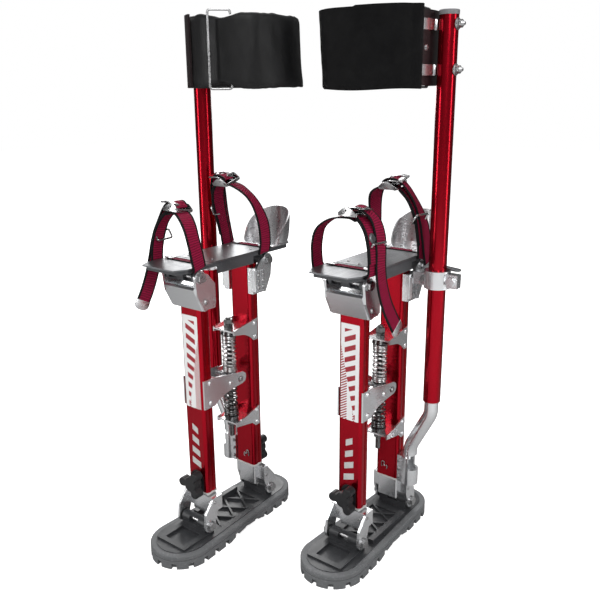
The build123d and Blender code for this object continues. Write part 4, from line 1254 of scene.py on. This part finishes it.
def makeFloor(look):
    mesh = bpy.data.meshes.new("studioFloor")
    half = look["floor"]
    corners = [(x * half, y * half, 0) for x, y in ((-1, -1), (1, -1), (1, 1), (-1, 1))]
    mesh.from_pydata(corners, [], [(0, 1, 2, 3)])
    floor = bpy.data.objects.new("studioFloor", mesh)
    scene.collection.objects.link(floor)
    # the floor is pale to look at and darker behind, for the tubes to mirror
    material, tree, shader = startMaterial("studioFloor", look["floorColor"], 0.8)
    ray = addNode(tree, "ShaderNodeLightPath")
    card = addRange(tree, facing(tree, "Object", look["front"]), *look["floorTone"])
    feed(tree, shader, {
        "Emission Color": (1, 1, 1, 1), "Emission Strength": mathNode(tree, "MULTIPLY", ray, look["lift"]),
        "Base Color": mixColor(tree, ray, (card, 0), look["floorColor"])})
    mesh.materials.append(material)
    floor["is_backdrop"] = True


def makeSky(look):
    # white to look at and softer as a light, paler above and in front than at the horizon behind
    world = bpy.data.worlds.new("studioSky")
    scene.world = world
    world.use_nodes = True
    tree = world.node_tree
    seen = tree.nodes["Background"]
    feed(tree, seen, {"Color": (1, 1, 1, 1), "Strength": look["seen"]})
    place = addNode(tree, "ShaderNodeTexCoord")
    parts = addNode(tree, "ShaderNodeSeparateXYZ", {0: (place, "Generated")})
    rise = addRange(tree, (parts, "Z"), *look["skyTone"])
    front = mathNode(tree, "MAXIMUM", facing(tree, "Generated", look["front"]), 0.0)
    bright = mathNode(tree, "MULTIPLY_ADD", mathNode(tree, "POWER", front, 1.6), 0.62, rise)
    cast = addNode(tree, "ShaderNodeBackground", {"Strength": mathNode(tree, "MULTIPLY", bright, look["cast"])})
    ray = addNode(tree, "ShaderNodeLightPath")
    feed(tree, tree.nodes["World Output"], {
        "Surface": addNode(tree, "ShaderNodeMixShader", {0: ray, 1: cast, 2: seen})})


def addLight(name, place, aim, size, power):
    data = bpy.data.lights.new(name, "AREA")
    data.shape = "RECTANGLE"
    data.size, data.size_y = size
    data.energy = power
    light = bpy.data.objects.new(name, data)
    scene.collection.objects.link(light)
    light.location = place
    light.rotation_euler = (Vector(aim) - Vector(place)).to_track_quat("-Z", "Y").to_euler()


lights = {
    "keyLight": ((1.5, -1.7, 2.0), (0, 0, 0.4), (0.8, 2.2), 30),
    "stripLight": ((-1.3, -1.8, 0.9), (0, 0, 0.4), (0.25, 2.0), 15),
    "sideLight": ((2.0, 0.5, 1.0), (0, 0, 0.4), (0.3, 2.0), 11),
    "backLight": ((-1.6, 1.7, 1.5), (0, 0, 0.4), (1.0, 2.0), 28),
    "topLight": ((0.0, 0.3, 2.8), (0, 0, 0), (2.4, 2.4), 26),
}
cameraLook = {"place": (0.63566, -0.8066, 0.68671), "yaw": 37.87, "pitch": -16.16, "roll": -0.51,
              "focal": 716.12, "width": 600}


def makeCamera(look):
    data = bpy.data.cameras.new("viewCamera")
    data.sensor_width = 36.0
    data.lens = look["focal"] / look["width"] * data.sensor_width
    data.clip_start, data.clip_end = 0.05, 40.0
    camera = bpy.data.objects.new("viewCamera", data)
    scene.collection.objects.link(camera)
    yaw, pitch = radians(look["yaw"]), radians(look["pitch"])
    forward = Vector((-sin(yaw) * cos(pitch), cos(yaw) * cos(pitch), sin(pitch)))
    turn = forward.to_track_quat("-Z", "Y").to_matrix() @ Matrix.Rotation(radians(look["roll"]), 3, "Z")
    camera.matrix_world = Matrix.Translation(look["place"]) @ turn.to_4x4()
    scene.camera = camera


makeFloor(stageLook)
makeSky(stageLook)
for name, setting in lights.items():
    addLight(name, *setting)
makeCamera(cameraLook)
print("stage, light and camera set")

low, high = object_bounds()
